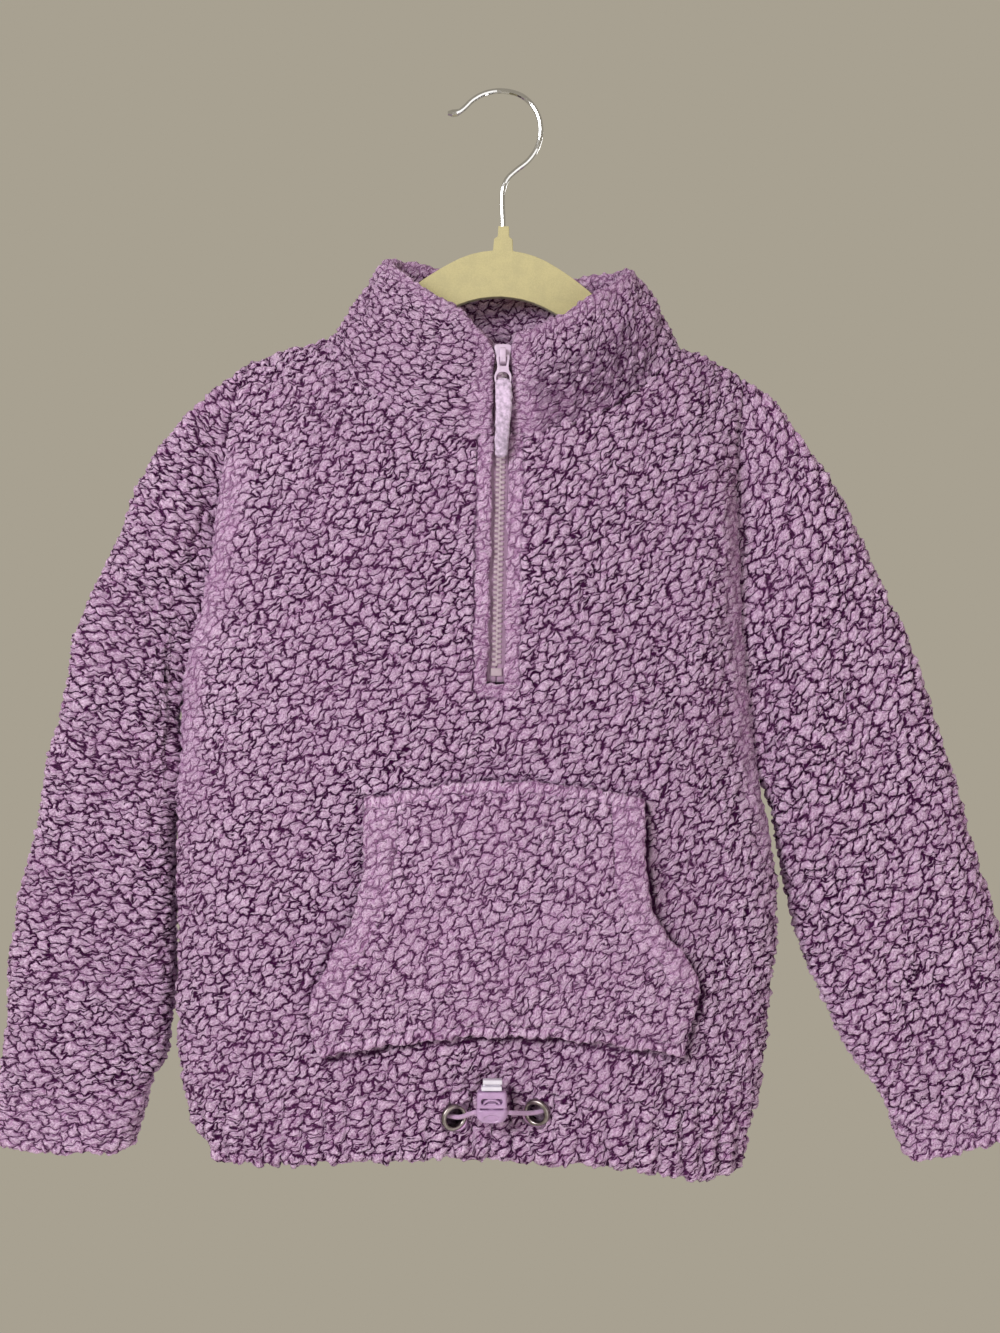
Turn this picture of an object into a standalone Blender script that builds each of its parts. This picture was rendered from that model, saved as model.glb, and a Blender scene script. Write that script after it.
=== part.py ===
"""Sherpa fleece pullover on a child's hanger. Metres, +Z up, the front faces -Y.

The origin is where the crown of the hook bears on what holds it up. Sizes and tables here are in
millimetres and become metres when a mesh is made. The cloth pieces share the points and the normals
of their seams, and each stops SEAM_INSET short of them, so that no two pieces touch.
"""

import math

import bmesh
import bpy
import numpy as np
from mathutils import Matrix, Vector

MM = 0.001
COLLECTION = "sherpa_fleece_pullover_on_hanger"

# Cloth
WALL = 4.0
SEAM_INSET = 0.3
LAY_GAP = 0.3
COLLAR_WALL = 8.0
HEM_FOLD_RADIUS = 4.5
HEM_HEIGHT = 38.0
CUFF_FOLD_RADIUS = 3.0
SHOULDER_X = (-139.0, 137.0)
NECK_X = (-92.0, 100.0)
ARMPIT_Z = (-334.0, -372.0)
ARMPIT_WALL_SHARE, ARMPIT_REACH = 0.2, 34.0
SLIT_BOTTOM_Z = -330.0
SLIT_HALF = 4.4

# Front and back, seen from the front: side edges of the body
LEFT_EDGE = [  # z, x
    (-150, -138.5), (-170, -143), (-210, -150), (-272, -159), (-312, -169), (-334, -174),
    (-360, -175), (-420, -175.5), (-500, -175), (-529, -174), (-558, -169), (-581, -160), (-600, -148),
]
RIGHT_EDGE = [  # z, x
    (-150, 137.5), (-190, 133), (-224, 131), (-266, 133), (-306, 135.5), (-354, 139.5),
    (-372, 142.5), (-390, 145.5), (-411, 149), (-439, 153), (-467, 152.5), (-505, 148.5), (-530, 146.5),
    (-555, 142.5), (-575, 138), (-600, 130),
]
SHOULDER_LINE = [  # x, z
    (-139, -153), (-120, -145.8), (-105, -142.2), (-92, -139.5), (0, -140), (100, -144),
    (114, -148.5), (127, -155), (137, -161),
]
FRONT_NECK = [  # x, z
    (-92, -139.5), (-80, -158), (-60, -177), (-30.5, -190.5), (-2, -196), (7, -196), (28, -191.5),
    (52, -181.5), (77, -165), (100, -144),
]
BACK_NECK = [  # x, z
    (-92, -139.5), (-84, -144), (-72, -148.5), (-40, -153), (3, -155), (48, -154), (80, -150.5),
    (91, -148), (100, -144),
]
ZIP_LINE = [(-140, 3.6), (-200, 2.3), (-262, 0.9), (-330, -0.4), (-620, -0.4)]  # z, x
HEM_LINE = [  # share of the half width from the zip, front z, back z
    (-1.0, -594, -594), (-0.87, -593, -592), (-0.61, -589, -589), (-0.4, -587.5, -588),
    (-0.06, -585.5, -588), (0.1, -587.5, -588), (0.38, -589, -589), (0.6, -594, -591),
    (0.83, -599, -595), (1.0, -600, -600),
]
DEPTHS = [  # z, front depth, back depth
    (-130, 41, 22), (-200, 41, 24), (-330, 42, 24), (-420, 43, 24), (-490, 44, 24), (-560, 42, 23),
    (-600, 37, 20),
]
FRONT_FALL, FRONT_FALL_POWER = 90.0, 1.7
BACK_FALL, BACK_FALL_POWER = 52.0, 1.9
ARMHOLE_DEPTH = 9.0
SIDE_SEAM_Y = -9.0
SIDE_SEAM_RUN = 45.0
ROUNDNESS = [  # z, power of the section
    (-150, 2.3), (-250, 2.4), (-345, 2.0), (-385, 2.3), (-450, 3.0), (-620, 3.2),
]
TOGGLE_DIP = {"x": -1.0, "z": -563.0, "depth": 8.0, "half_width": 21.0, "half_height": 26.0}

# Grid of a panel
EDGE_SHARES = (0.0, 0.05, 0.2, 0.5, 1.0)
NECK_SHARES = (0.11, 0.25, 0.42, 0.58, 0.73, 0.87, 1.0)
ROUND_STEPS, ARM_ROWS, ROUND_RADIUS = 3, 12, 14.0
BODY_ROWS, HEM_ROWS = 5, 2

# Sleeves: outer and inner edge of each ring, its half depth and the y of its middle
LEFT_SLEEVE = [  # xo, zo, xi, zi, half depth, y
    (-163, -175.5, -184.5, -344.5, 10.5, -4), (-190, -209, -182.5, -368, 14.0, -2),
    (-209, -246, -181.5, -394, 15.0, -2), (-226, -292, -181.5, -428, 15.0, -2),
    (-240.5, -347, -181.5, -464, 15.0, -2), (-254.5, -409, -182, -502, 15.0, -1),
    (-268, -464, -187, -536, 14.5, 0), (-275.5, -555, -196.5, -557, 14.0, 0),
    (-277, -569, -200, -571, 14.0, 0), (-278, -583, -203.5, -585, 13.5, 0),
]
RIGHT_SLEEVE = [  # xo, zo, xi, zi, half depth, y
    (155, -175.5, 151, -388, 12.0, -1), (178, -207.5, 156, -404, 14.0, -2),
    (197, -243, 160.5, -430, 15.0, -2), (215.5, -282.5, 166.5, -459, 15.0, -2),
    (235, -333, 174.5, -483, 15.0, -2), (254, -387, 185, -506, 15.0, -1),
    (273, -446, 198.5, -534, 14.5, 0), (296, -546, 219.5, -565, 14.0, 0),
    (299, -559, 224, -578, 14.0, 0), (302, -572, 229, -591, 13.5, 0),
]

# Collar: top edge, from the zip round the wearer's right, the back and the left to the zip
COLLAR_TOP = [  # share of the way round, x, y, z
    (0.0, -1.0, -37.5, -150), (0.09, -23, -37, -130), (0.18, -46, -27, -113.5),
    (0.27, -62, -2, -95.5), (0.38, -44, 17, -95), (0.5, 3, 25, -102), (0.62, 52, 19, -101.5),
    (0.73, 76, 0, -101), (0.82, 56, -25, -119), (0.91, 31, -36, -136), (1.0, 7.8, -37.5, -145.5),
]
COLLAR_NECK_SHARES = (0.27, 0.73)
COLLAR_ROWS = 4
COLLAR_BULGE = 2.5
COLLAR_SWELL = 2.5  # how much its wall gains from each row to the next, above the neck seam

# Pocket: its two sides from top to bottom, and how its top and bottom edges bow
POCKET_SIDES = [  # share of the way down, left x, left z, right x, right z
    (0.0, -70, -391, 77.5, -391), (0.17, -70, -413, 78, -413), (0.34, -71, -436, 79, -438),
    (0.5, -77, -457, 85, -457), (0.66, -91, -482, 102, -479), (0.78, -98.5, -500, 107, -493),
    (0.9, -99, -516, 103, -511), (1.0, -93, -528, 99, -528),
]
POCKET_TOP_BOW, POCKET_BOTTOM_BOW = 9.0, 12.0
POCKET_OPEN_END = 0.74
POCKET_STAND_OFF = 8.0
POCKET_COLUMNS, POCKET_ROWS = 10, 9

# Zip, measured across from its middle and inward from the middle of the cloth wall
CHAIN_HALF, CHAIN_FACES = 3.1, (1.7, 4.3)
TAPE_INNER, TAPE_OUTER, TAPE_FACES = 3.4, 14.0, (2.65, 3.35)
TAPE_OUTER_IN_COLLAR = 4.1
TAPE_WIDE_Z = (-200.0, -206.0)
TAPE_TOP_Z, CHAIN_TOP_Z, CHAIN_BOTTOM_Z = -160.6, -160.6, -321.0
STOP_Z, STOP_HALF = (-321.4, -325.8), 3.1
TAPE_BOTTOM_Z = -328.6
SLIDER_TOP_Z, SLIDER_LENGTH, SLIDER_HALF, SLIDER_FACES = -147.6, 12.6, 3.75, (-0.6, 6.0)
CROWN_AXIS_Z, CROWN_AXIS_OUT = -154.5, 2.9
CROWN_HALF_WIDTH, CROWN_HOLE_HALF, CROWN_THICKNESS = 1.2, 1.35, 1.4
CROWN_SINK = 0.6  # how far the crown's feet reach into the slider
LINK_HALF_THICKNESS = 0.7
LINK_OUTLINE = [  # x, z from the crown's axis: right half of the outline, top to bottom
    (2.4, 0.75), (3.3, 0.3), (3.6, -1.5), (3.0, -5.0), (3.3, -8.0), (4.4, -10.0), (4.6, -12.2),
    (4.3, -14.2), (3.0, -14.9),
]
LINK_WINDOW = [(1.6, -0.75), (1.9, -1.1), (1.9, -6.4), (1.1, -7.2)]  # x, z of its right half
LINK_SLOT = [(1.4, -9.4), (2.8, -10.2), (3.5, -11.6), (3.6, -13.3)]  # x, z
PULL_LEAN = math.radians(4)  # the pull rests on the cloth below its crown
STRAP_HALF_WIDTHS, STRAP_HALF_THICKNESS = (3.0, 4.3, 3.4), 1.6
STRAP_TOP, STRAP_BOTTOM = -12.0, -55.0
STRAP_NECK_Z = -17.0
STRAP_HOLE_HALF = 1.15  # where the link's lower bar runs through the strap

# Eyelets, cord and toggle
EYELETS = [("eyelet_left", -23.0, -562.0), ("eyelet_right", 21.5, -559.5)]  # node, x, z
EYELET_RADIUS, EYELET_HOLE, EYELET_HALF_THICKNESS = 7.5, 5.25, 1.9
EYELET_CLEARANCE = 0.35
EYELET_TURN = math.radians(26)
CORD_RADIUS = 1.25
TOGGLE_X, TOGGLE_Y, CORD_HOLE_Z = -2.6, -51.5, -554.5
TOGGLE_WIDTH, TOGGLE_DEPTH, TOGGLE_Z = 17.0, 9.6, (-561.3, -544.8)
TOGGLE_ROUNDING = 2.6
CORD_HOLE_RADIUS = 1.9
BUTTON_WIDTH, BUTTON_DEPTH, BUTTON_Z = 11.0, 6.0, (-557.5, -538.5)
BUTTON_GAP = 0.3
BUTTON_TRAVEL = 2.5
BUTTON_HOLE_HALF, BUTTON_HOLE_Z = 1.6, (-556.3, -550.0)

# Hanger
HANGER_CENTRE = (3.4, -88.0)
HANGER_TILT = math.radians(1.8)
HANGER_THICKNESS = 5.0
HANGER_ARM = [  # distance from the middle, top edge, height
    (0, 0, 26), (10, -0.9, 26), (20, -3.6, 26), (34, -11, 25.5), (48, -20.8, 25), (60, -31.2, 24),
    (84, -53.5, 22), (97, -62.5, 20), (115, -70.0, 18), (132, -75.6, 16),
]
HANGER_TIP = [(138.5, -79), (142, -85), (139.5, -91)]  # distance from the middle, z
HUB = [(5.6, -0.4), (5.2, 6.2), (3.2, 7.6), (3.0, 13.4)]  # half width, height over the top edge
WIRE_RADIUS = 1.5
HOOK_WIRE = [  # x, z
    (3.4, -86), (3.4, -80), (3.3, -70), (3.0, -60), (3.4, -53.5), (5.8, -47.5), (10.5, -43),
    (17.4, -37.5), (22, -31), (24.4, -23), (23.6, -13.5), (19.6, -6), (13.4, -0.8), (5.5, 1.5),
    (-2, 1.5), (-8.6, -0.4), (-14.4, -4), (-18.4, -8), (-22, -10.4), (-27.5, -10.8),
]
HOOK_TIP_SWELL = 1.35


def smooth(at, stations, values):
    """A curve through the values, with the slopes that their neighbours give."""
    order = np.argsort(stations)
    xs = np.asarray(stations, float)[order]
    ys = np.asarray(values, float)[order]
    slopes = np.gradient(ys, xs)
    at = np.clip(np.asarray(at, float), xs[0], xs[-1])
    k = np.clip(np.searchsorted(xs, at, side="right") - 1, 0, len(xs) - 2)
    step = xs[k + 1] - xs[k]
    t = (at - xs[k]) / step
    return (
        (2 * t**3 - 3 * t**2 + 1) * ys[k]
        + (t**3 - 2 * t**2 + t) * step * slopes[k]
        + (3 * t**2 - 2 * t**3) * ys[k + 1]
        + (t**3 - t**2) * step * slopes[k + 1]
    )


def column(table, index):
    return [row[index] for row in table]


def from_table(at, table, index=1):
    return smooth(at, column(table, 0), column(table, index))


def unit(vectors):
    length = np.linalg.norm(vectors, axis=-1, keepdims=True)
    return vectors / np.maximum(length, 1e-9)


# ---- The body's surface ----


def across(x, z):
    """Share of the half width, from -1 at the left side to 0 at the zip and 1 at the right side."""
    middle = from_table(z, ZIP_LINE)
    left, right = middle - SLIT_HALF, middle + SLIT_HALF
    to_left = (x - left) / (left - from_table(z, LEFT_EDGE))
    to_right = (x - right) / (from_table(z, RIGHT_EDGE) - right)
    return np.where(x < left, to_left, np.where(x > right, to_right, 0.0))


def at_share(share, z, side):
    """The x of a share on its own side of the zip."""
    edge = from_table(z, LEFT_EDGE if side < 0 else RIGHT_EDGE)
    start = from_table(z, ZIP_LINE) + side * SLIT_HALF
    return start + (edge - start) * np.abs(share)


def edge_y(z, right, front):
    """The y of a panel's side edge: the armhole, and the side seam below it."""
    top = np.where(right, SHOULDER_LINE[-1][1], SHOULDER_LINE[0][1])
    armpit = np.where(right, ARMPIT_Z[1], ARMPIT_Z[0])
    end = np.clip(np.minimum(top - z, z - armpit) / ROUND_RADIUS, 0, 1)
    armhole = ARMHOLE_DEPTH * np.sqrt(1 - (1 - end) ** 2)
    run = np.clip((armpit - z) / SIDE_SEAM_RUN, 0, 1)
    seam = SIDE_SEAM_Y * run**2 * (3 - 2 * run)
    return np.where(z > armpit, -armhole if front else armhole, seam)


def panel_y(x, z, front):
    """The y of the middle of the front's or the back's wall."""
    share = across(x, z)
    fall, power = (FRONT_FALL, FRONT_FALL_POWER) if front else (BACK_FALL, BACK_FALL_POWER)
    below = np.clip((from_table(x, SHOULDER_LINE) - z) / fall, 0, 1)
    rise = (1 - (1 - below) ** power) ** (1 / power)
    depth = -from_table(z, DEPTHS, 1) if front else from_table(z, DEPTHS, 2)
    edge = edge_y(z, share > 0, front)
    n = from_table(z, ROUNDNESS)
    section = (1 - np.clip(np.abs(share), 0, 1) ** n) ** (1 / n)
    y = edge + (depth * rise - edge) * section
    if front:
        dip = TOGGLE_DIP
        off = ((x - dip["x"]) / dip["half_width"]) ** 2 + ((z - dip["z"]) / dip["half_height"]) ** 2
        y = y + dip["depth"] * np.exp(-off)
    return y


def front_points(x, z):
    x, z = np.broadcast_arrays(np.asarray(x, float), np.asarray(z, float))
    return np.stack([x, panel_y(x, z, True), z], axis=-1)


def front_normals(x, z, step=2.0):
    x, z = np.broadcast_arrays(np.asarray(x, float), np.asarray(z, float))
    along_x = front_points(x + step, z) - front_points(x - step, z)
    along_z = front_points(x, z + step) - front_points(x, z - step)
    return unit(np.cross(along_x, along_z))


def top_columns():
    """x on the top edge, and side, of each column of a panel, from left to right."""
    left_slit, right_slit = (from_table(-196, ZIP_LINE) + s * SLIT_HALF for s in (-1, 1))
    left = [SHOULDER_X[0] + (NECK_X[0] - SHOULDER_X[0]) * s for s in EDGE_SHARES]
    left += [NECK_X[0] + (left_slit - NECK_X[0]) * s for s in NECK_SHARES]
    right = [SHOULDER_X[1] + (NECK_X[1] - SHOULDER_X[1]) * s for s in EDGE_SHARES]
    right += [NECK_X[1] + (right_slit - NECK_X[1]) * s for s in NECK_SHARES]
    return [(x, -1) for x in left] + [(x, 1) for x in reversed(right)]


def arm_steps(length):
    """Heights below the top edge of the rows down to the armpit's level."""
    round_end = [
        ROUND_RADIUS * (1 - math.cos(math.pi / 2 * k / ROUND_STEPS)) for k in range(ROUND_STEPS + 1)
    ]
    straight = np.linspace(ROUND_RADIUS, length - ROUND_RADIUS, ARM_ROWS - 2 * ROUND_STEPS + 1)
    return np.concatenate([round_end, straight[1:-1], length - np.array(round_end[::-1])])


def panel(front):
    """Points of a panel's middle, a row for each height and a column for each place across."""
    columns = []
    for x_top, side in top_columns():
        on_neck = NECK_X[0] <= x_top <= NECK_X[1]
        z_top = from_table(x_top, (FRONT_NECK if front else BACK_NECK) if on_neck else SHOULDER_LINE)
        share = float(across(np.array(x_top), z_top))
        if side < 0:
            armpit = SLIT_BOTTOM_Z + (ARMPIT_Z[0] - SLIT_BOTTOM_Z) * abs(share)
        else:
            armpit = SLIT_BOTTOM_Z + (ARMPIT_Z[1] - SLIT_BOTTOM_Z) * share**2
        hem = from_table(share, HEM_LINE, 1 if front else 2) + HEM_FOLD_RADIUS + WALL / 2
        body = np.linspace(armpit, hem + HEM_HEIGHT, BODY_ROWS + 1)[1:]
        turned = np.linspace(hem + HEM_HEIGHT, hem, HEM_ROWS + 1)[1:]
        z = np.concatenate([z_top - arm_steps(z_top - armpit), body, turned])
        x = at_share(share, z, side)
        columns.append(np.stack([x, panel_y(x, z, front), z], axis=-1))
    return np.stack(columns, axis=1)


# ---- Sleeves and collar ----


def stadium(count=ARM_ROWS):
    """Cosine-like and sine-like shares down one half of a flat ring, as functions of its sizes."""

    def ring(half_length, half_depth):
        rest = np.linspace(half_length - half_depth, half_depth - half_length, count - 5)
        turn = np.arange(ROUND_STEPS + 1) * math.pi / 2 / ROUND_STEPS
        first = half_length - half_depth * (1 - np.cos(turn))
        along = np.concatenate([first, rest[1:-1], -first[::-1]])
        deep = np.concatenate(
            [half_depth * np.sin(turn), np.full(count - 7, half_depth), half_depth * np.sin(turn)[::-1]]
        )
        return along, deep

    return ring


def sleeve(armhole, table):
    """Rings of a sleeve, from the armhole to the cuff: outer edge, front, inner edge, back."""
    ring = stadium()
    rings = [armhole]
    for xo, zo, xi, zi, half_depth, y in table:
        outer, inner = np.array([xo, y, zo], float), np.array([xi, y, zi], float)
        half = np.linalg.norm(outer - inner) / 2
        along, deep = ring(half, half_depth)
        middle, way = (outer + inner) / 2, unit(outer - inner)
        line = middle + along[:, None] * way
        front = line - deep[:, None] * np.array([0, 1, 0])
        back = line + deep[:, None] * np.array([0, 1, 0])
        rings.append(np.concatenate([front, back[-2:0:-1]]))
    return np.stack(rings)


def armhole(front, back, at):
    return np.concatenate([front[: ARM_ROWS + 1, at], back[ARM_ROWS - 1 : 0 : -1, at]])


def collar(front, back):
    """Rows of the collar from the neck seam up, with a column for each point of the neck seam."""
    left, right = len(EDGE_SHARES) - 1, front.shape[1] - len(EDGE_SHARES)
    slit_left = front.shape[1] // 2 - 1
    base = np.concatenate(
        [
            front[0, slit_left:left:-1],
            back[0, left : right + 1],
            front[0, right - 1 : slit_left : -1],
        ]
    )
    marks = [0, slit_left - left, slit_left - left + right - left, len(base) - 1]
    steps = np.linalg.norm(np.diff(base, axis=0), axis=1)
    way = np.concatenate([[0], np.cumsum(steps)])
    shares = np.interp(way, way[marks], [0, *COLLAR_NECK_SHARES, 1])
    top = np.stack([from_table(shares, COLLAR_TOP, k) for k in (1, 2, 3)], axis=-1)
    middle = np.array([4.0, -6.0, 0.0])
    rows = []
    for k in range(COLLAR_ROWS + 1):
        t = k / COLLAR_ROWS
        points = base + (top - base) * t
        outward = unit((points - middle) * [1, 1, 0])
        ends = np.clip(np.minimum(shares, 1 - shares) / 0.08, 0, 1)[:, None]
        rows.append(points + outward * COLLAR_BULGE * math.sin(math.pi * t) * ends)
    return np.stack(rows)


# ---- Cloth walls ----


def grid_quads(rows, columns, closed=False, flip=False, skip=()):
    """Quads of a grid of points. A closed grid joins its last column to its first."""
    quads = []
    for i in range(rows - 1):
        for j in range(columns if closed else columns - 1):
            if (i, j) in skip:
                continue
            k = (j + 1) % columns
            quad = (i * columns + j, (i + 1) * columns + j, (i + 1) * columns + k, i * columns + k)
            quads.append(quad[::-1] if flip else quad)
    return quads


def shared_normals(groups):
    """Normals of grids that meet in common points, as groups of (points, quads).

    The grids of a group form one smooth surface. A point of several groups gets the mean of theirs.
    """
    total = {}
    names = []
    for group in groups:
        own = {}
        for points, quads in group:
            flat = points.reshape(-1, 3)
            names.append([tuple(np.round(p, 2)) for p in flat])
            for quad in quads:
                a, b, c, d = (flat[q] for q in quad)
                normal = np.cross(c - a, d - b)
                for q in quad:
                    own[names[-1][q]] = own.get(names[-1][q], 0) + normal
        for name, normal in own.items():
            total[name] = total.get(name, 0) + unit(normal)
    grids = [grid for group in groups for grid in group]
    return [
        unit(np.array([total[name] for name in own])).reshape(points.shape)
        for (points, _), own in zip(grids, names)
    ]


def inset(points, first_row, last_row, sides):
    """Draws the edges of a grid back from its seams."""
    out = points.copy()
    if first_row:
        out[0] += SEAM_INSET * unit(points[1] - points[0])
    if last_row:
        out[-1] += SEAM_INSET * unit(points[-2] - points[-1])
    if sides:
        out[:, 0] += SEAM_INSET * unit(points[:, 1] - points[:, 0])
        out[:, -1] += SEAM_INSET * unit(points[:, -2] - points[:, -1])
    return out


def turn_in(points, normals, radius, rows):
    """Adds a fold at the last row and the layer that it turns in, rows high."""
    base, n = points[-1], normals[-1]
    down = points[-1] - points[-2]
    down = unit(down - (down * n).sum(-1, keepdims=True) * n)
    new_points, new_normals = [], []
    for angle in np.radians([60, 120, 180]):
        new_points.append(base - n * radius * (1 - math.cos(angle)) + down * radius * math.sin(angle))
        new_normals.append(n * math.cos(angle) + down * math.sin(angle))
    for k in range(2, 2 + rows):
        new_points.append(points[-k] - 2 * radius * normals[-k])
        new_normals.append(-normals[-k])
    return np.concatenate([points, new_points]), np.concatenate([normals, new_normals])


def thinned(points, normals):
    """Normals shortened towards the armpits, where the walls of body and sleeve part at a sharp angle."""
    share = np.ones(points.shape[:-1])
    for edge, z in zip((LEFT_EDGE, RIGHT_EDGE), ARMPIT_Z):
        away = np.linalg.norm(points - [from_table(z, edge), 0, z], axis=-1) / ARMPIT_REACH
        share = np.minimum(share, ARMPIT_WALL_SHARE + (1 - ARMPIT_WALL_SHARE) * away)
    return normals * share[..., None]


def wall_mesh(name, points, normals, quads):
    """A closed wall round a sheet of quads, half its thickness along each point's normal."""
    flat, n = points.reshape(-1, 3), normals.reshape(-1, 3)
    count = len(flat)
    sides = {}
    for quad in quads:
        for a, b in zip(quad, quad[1:] + quad[:1]):
            sides[(a, b)] = sides.get((a, b), 0) + 1
    rim = [(b, a, a + count, b + count) for a, b in sides if (b, a) not in sides]
    faces = list(quads) + [tuple(q + count for q in quad[::-1]) for quad in quads] + rim
    return mesh_object(name, np.concatenate([flat + n * WALL / 2, flat - n * WALL / 2]), faces)


def mesh_object(name, points, faces):
    """A mesh object from points in millimetres."""
    mesh = bpy.data.meshes.new(name)
    mesh.from_pydata([tuple(p) for p in np.asarray(points) * MM], [], [list(f) for f in faces])
    mesh.update()
    return place(bpy.data.objects.new(name, mesh))


def place(ob):
    PARTS.objects.link(ob)
    return ob


def make_cloth():
    front, back = panel(True), panel(False)
    rows, columns = front.shape[:2]
    slit = {(i, columns // 2 - 1) for i in range(ARM_ROWS)}
    left = sleeve(armhole(front, back, 0), LEFT_SLEEVE)
    right = sleeve(armhole(front, back, -1), RIGHT_SLEEVE)
    neck = collar(front, back)
    around = left.shape[1]
    grids = [
        (front, grid_quads(rows, columns, skip=slit)),
        (back, grid_quads(rows, columns, flip=True)),
        (left, grid_quads(left.shape[0], around, closed=True)),
        (right, grid_quads(right.shape[0], around, closed=True, flip=True)),
        (neck, grid_quads(*neck.shape[:2])),
    ]
    normals = shared_normals([grids[:2], grids[2:3], grids[3:4], grids[4:]])
    slit_normals = (normals[0][:, columns // 2 - 1], normals[0][:, columns // 2])
    for edge in (*slit_normals, normals[4][:, 0], normals[4][:, -1]):
        edge[:, 0] = 0
        edge[:] = unit(edge)
    for name, k, flip, skip in (("front", 0, False, slit), ("back", 1, True, ())):
        points = inset(grids[k][0], True, False, True)
        points, n = turn_in(points, normals[k], HEM_FOLD_RADIUS, HEM_ROWS)
        quads = grid_quads(len(points), columns, flip=flip, skip=skip)
        wall_mesh(name, points, thinned(points, n), quads)
    for name, k, flip in (("sleeve_left", 2, False), ("sleeve_right", 3, True)):
        points = inset(grids[k][0], True, False, False)
        points, n = turn_in(points, normals[k], CUFF_FOLD_RADIUS, 2)
        quads = grid_quads(len(points), around, closed=True, flip=flip)
        wall_mesh(name, points, thinned(points, n), quads)
    make_collar(neck, normals[4])
    return front, back, normals[0], normals[1]


def make_collar(rows, normals):
    """The double collar: outer face, rounded top, inner face, from end to end."""
    rows = inset(rows, True, False, False)
    half, out = COLLAR_WALL / 2, WALL / 2
    deep = [min(out + COLLAR_SWELL * k, COLLAR_WALL - out) for k in range(len(rows))]
    up = unit(rows[-1] - rows[-2])
    loops = [rows[k] + out * normals[k] for k in range(len(rows))]
    centre = rows[-1] - (deep[-1] - half) * normals[-1]
    for angle in np.radians([45, 90, 135]):
        arch = half * (normals[-1] * math.cos(angle) + 0.7 * up * math.sin(angle))
        loops.append(centre + arch)
    loops += [rows[k] - deep[k] * normals[k] for k in reversed(range(len(rows)))]
    loops = np.stack(loops)
    around, columns = loops.shape[:2]
    faces = []
    for i in range(around):
        for j in range(columns - 1):
            k = (i + 1) % around
            a, b = i * columns + j, k * columns + j
            faces.append((a, b, b + 1, a + 1))
    first = [i * columns for i in range(around)]
    last = [i * columns + columns - 1 for i in range(around)]
    faces += [first[::-1], last]
    mesh_object("collar", loops.reshape(-1, 3), faces)


def make_pocket():
    shares = np.linspace(0, 1, POCKET_COLUMNS + 1)[None, :]
    downs = np.linspace(0, 1, POCKET_ROWS + 1)[:, None]
    lx, lz, rx, rz = (from_table(downs, POCKET_SIDES, k) for k in (1, 2, 3, 4))
    bow = np.sin(math.pi * shares)
    x = lx + (rx - lx) * shares
    z = lz + (rz - lz) * shares + bow * (POCKET_TOP_BOW * (1 - downs) + POCKET_BOTTOM_BOW * downs)
    opening = np.sin(math.pi * np.clip(downs / POCKET_OPEN_END, 0, 1))
    middle = np.sqrt(np.sin(math.pi * shares)) * np.sin(math.pi * downs) ** 0.7
    edge = (1 - np.sqrt(np.sin(math.pi * shares))) * opening * 0.85
    lift = WALL + LAY_GAP + POCKET_STAND_OFF * (middle + edge)
    points = front_points(x, z) + front_normals(x, z) * lift[..., None]
    quads = grid_quads(*points.shape[:2])
    (normals,) = shared_normals([[(points, quads)]])
    wall_mesh("pocket", points, normals, quads)


# ---- Zip ----


def zip_point(z):
    """Middle of the zip at a height, at the middle of the cloth wall."""
    x = from_table(z, ZIP_LINE)
    neck = FRONT_NECK[4][1]
    y = panel_y(x, np.minimum(z, neck), True)
    y_neck = panel_y(from_table(neck, ZIP_LINE), np.array(float(neck)), True)
    top_y, top_z = COLLAR_TOP[0][2], COLLAR_TOP[0][3]
    rise = np.clip((z - neck) / (top_z - neck), 0, 1.1)
    return np.stack([x, np.where(z > neck, y_neck + (top_y - y_neck) * rise, y), z], axis=-1)


def bar(name, heights, sections):
    """A strip along the zip, its section at each height given as x0, x1, y0, y1 from the middle."""
    points = []
    for z, (x0, x1, y0, y1) in zip(heights, sections):
        middle = zip_point(float(z))
        for dx, dy in ((x0, y0), (x1, y0), (x1, y1), (x0, y1)):
            points.append(middle + [dx, dy, 0])
    faces = [(0, 1, 2, 3), tuple(4 * (len(heights) - 1) + k for k in (3, 2, 1, 0))]
    for i in range(len(heights) - 1):
        for k in range(4):
            m = (k + 1) % 4
            faces.append((4 * i + m, 4 * i + k, 4 * (i + 1) + k, 4 * (i + 1) + m))
    return mesh_object(name, points, faces)


def make_zip():
    wide = list(np.linspace(TAPE_WIDE_Z[1], TAPE_BOTTOM_Z, 9))
    heights = [TAPE_TOP_Z, -178.0, -196.0, TAPE_WIDE_Z[0]] + wide
    for name, side in (("zip_tape_left", -1), ("zip_tape_right", 1)):
        sections = []
        for z in heights:
            outer = TAPE_OUTER if z <= TAPE_WIDE_Z[1] else TAPE_OUTER_IN_COLLAR
            sections.append((*sorted((side * TAPE_INNER, side * outer)), *TAPE_FACES))
        bar(name, heights, sections)
    heights = np.linspace(CHAIN_TOP_Z, CHAIN_BOTTOM_Z, 12)
    bar("zip_chain", heights, [(-CHAIN_HALF, CHAIN_HALF, *CHAIN_FACES)] * len(heights))
    bar("zip_stop", STOP_Z, [(-STOP_HALF, STOP_HALF, *CHAIN_FACES)] * 2)


def flat_outline(name, loops, half_thickness, matrix):
    """A flat plate from closed outlines in millimetres, the first outside and the rest its holes."""
    curve = bpy.data.curves.new(name, "CURVE")
    curve.dimensions = "2D"
    curve.fill_mode = "BOTH"
    curve.extrude = half_thickness * MM
    for loop in loops:
        spline = curve.splines.new("POLY")
        spline.points.add(len(loop) - 1)
        for point, (x, y) in zip(spline.points, loop):
            point.co = (x * MM, y * MM, 0, 1)
        spline.use_cyclic_u = True
    return as_mesh(bpy.data.objects.new(name, curve), matrix)


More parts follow.
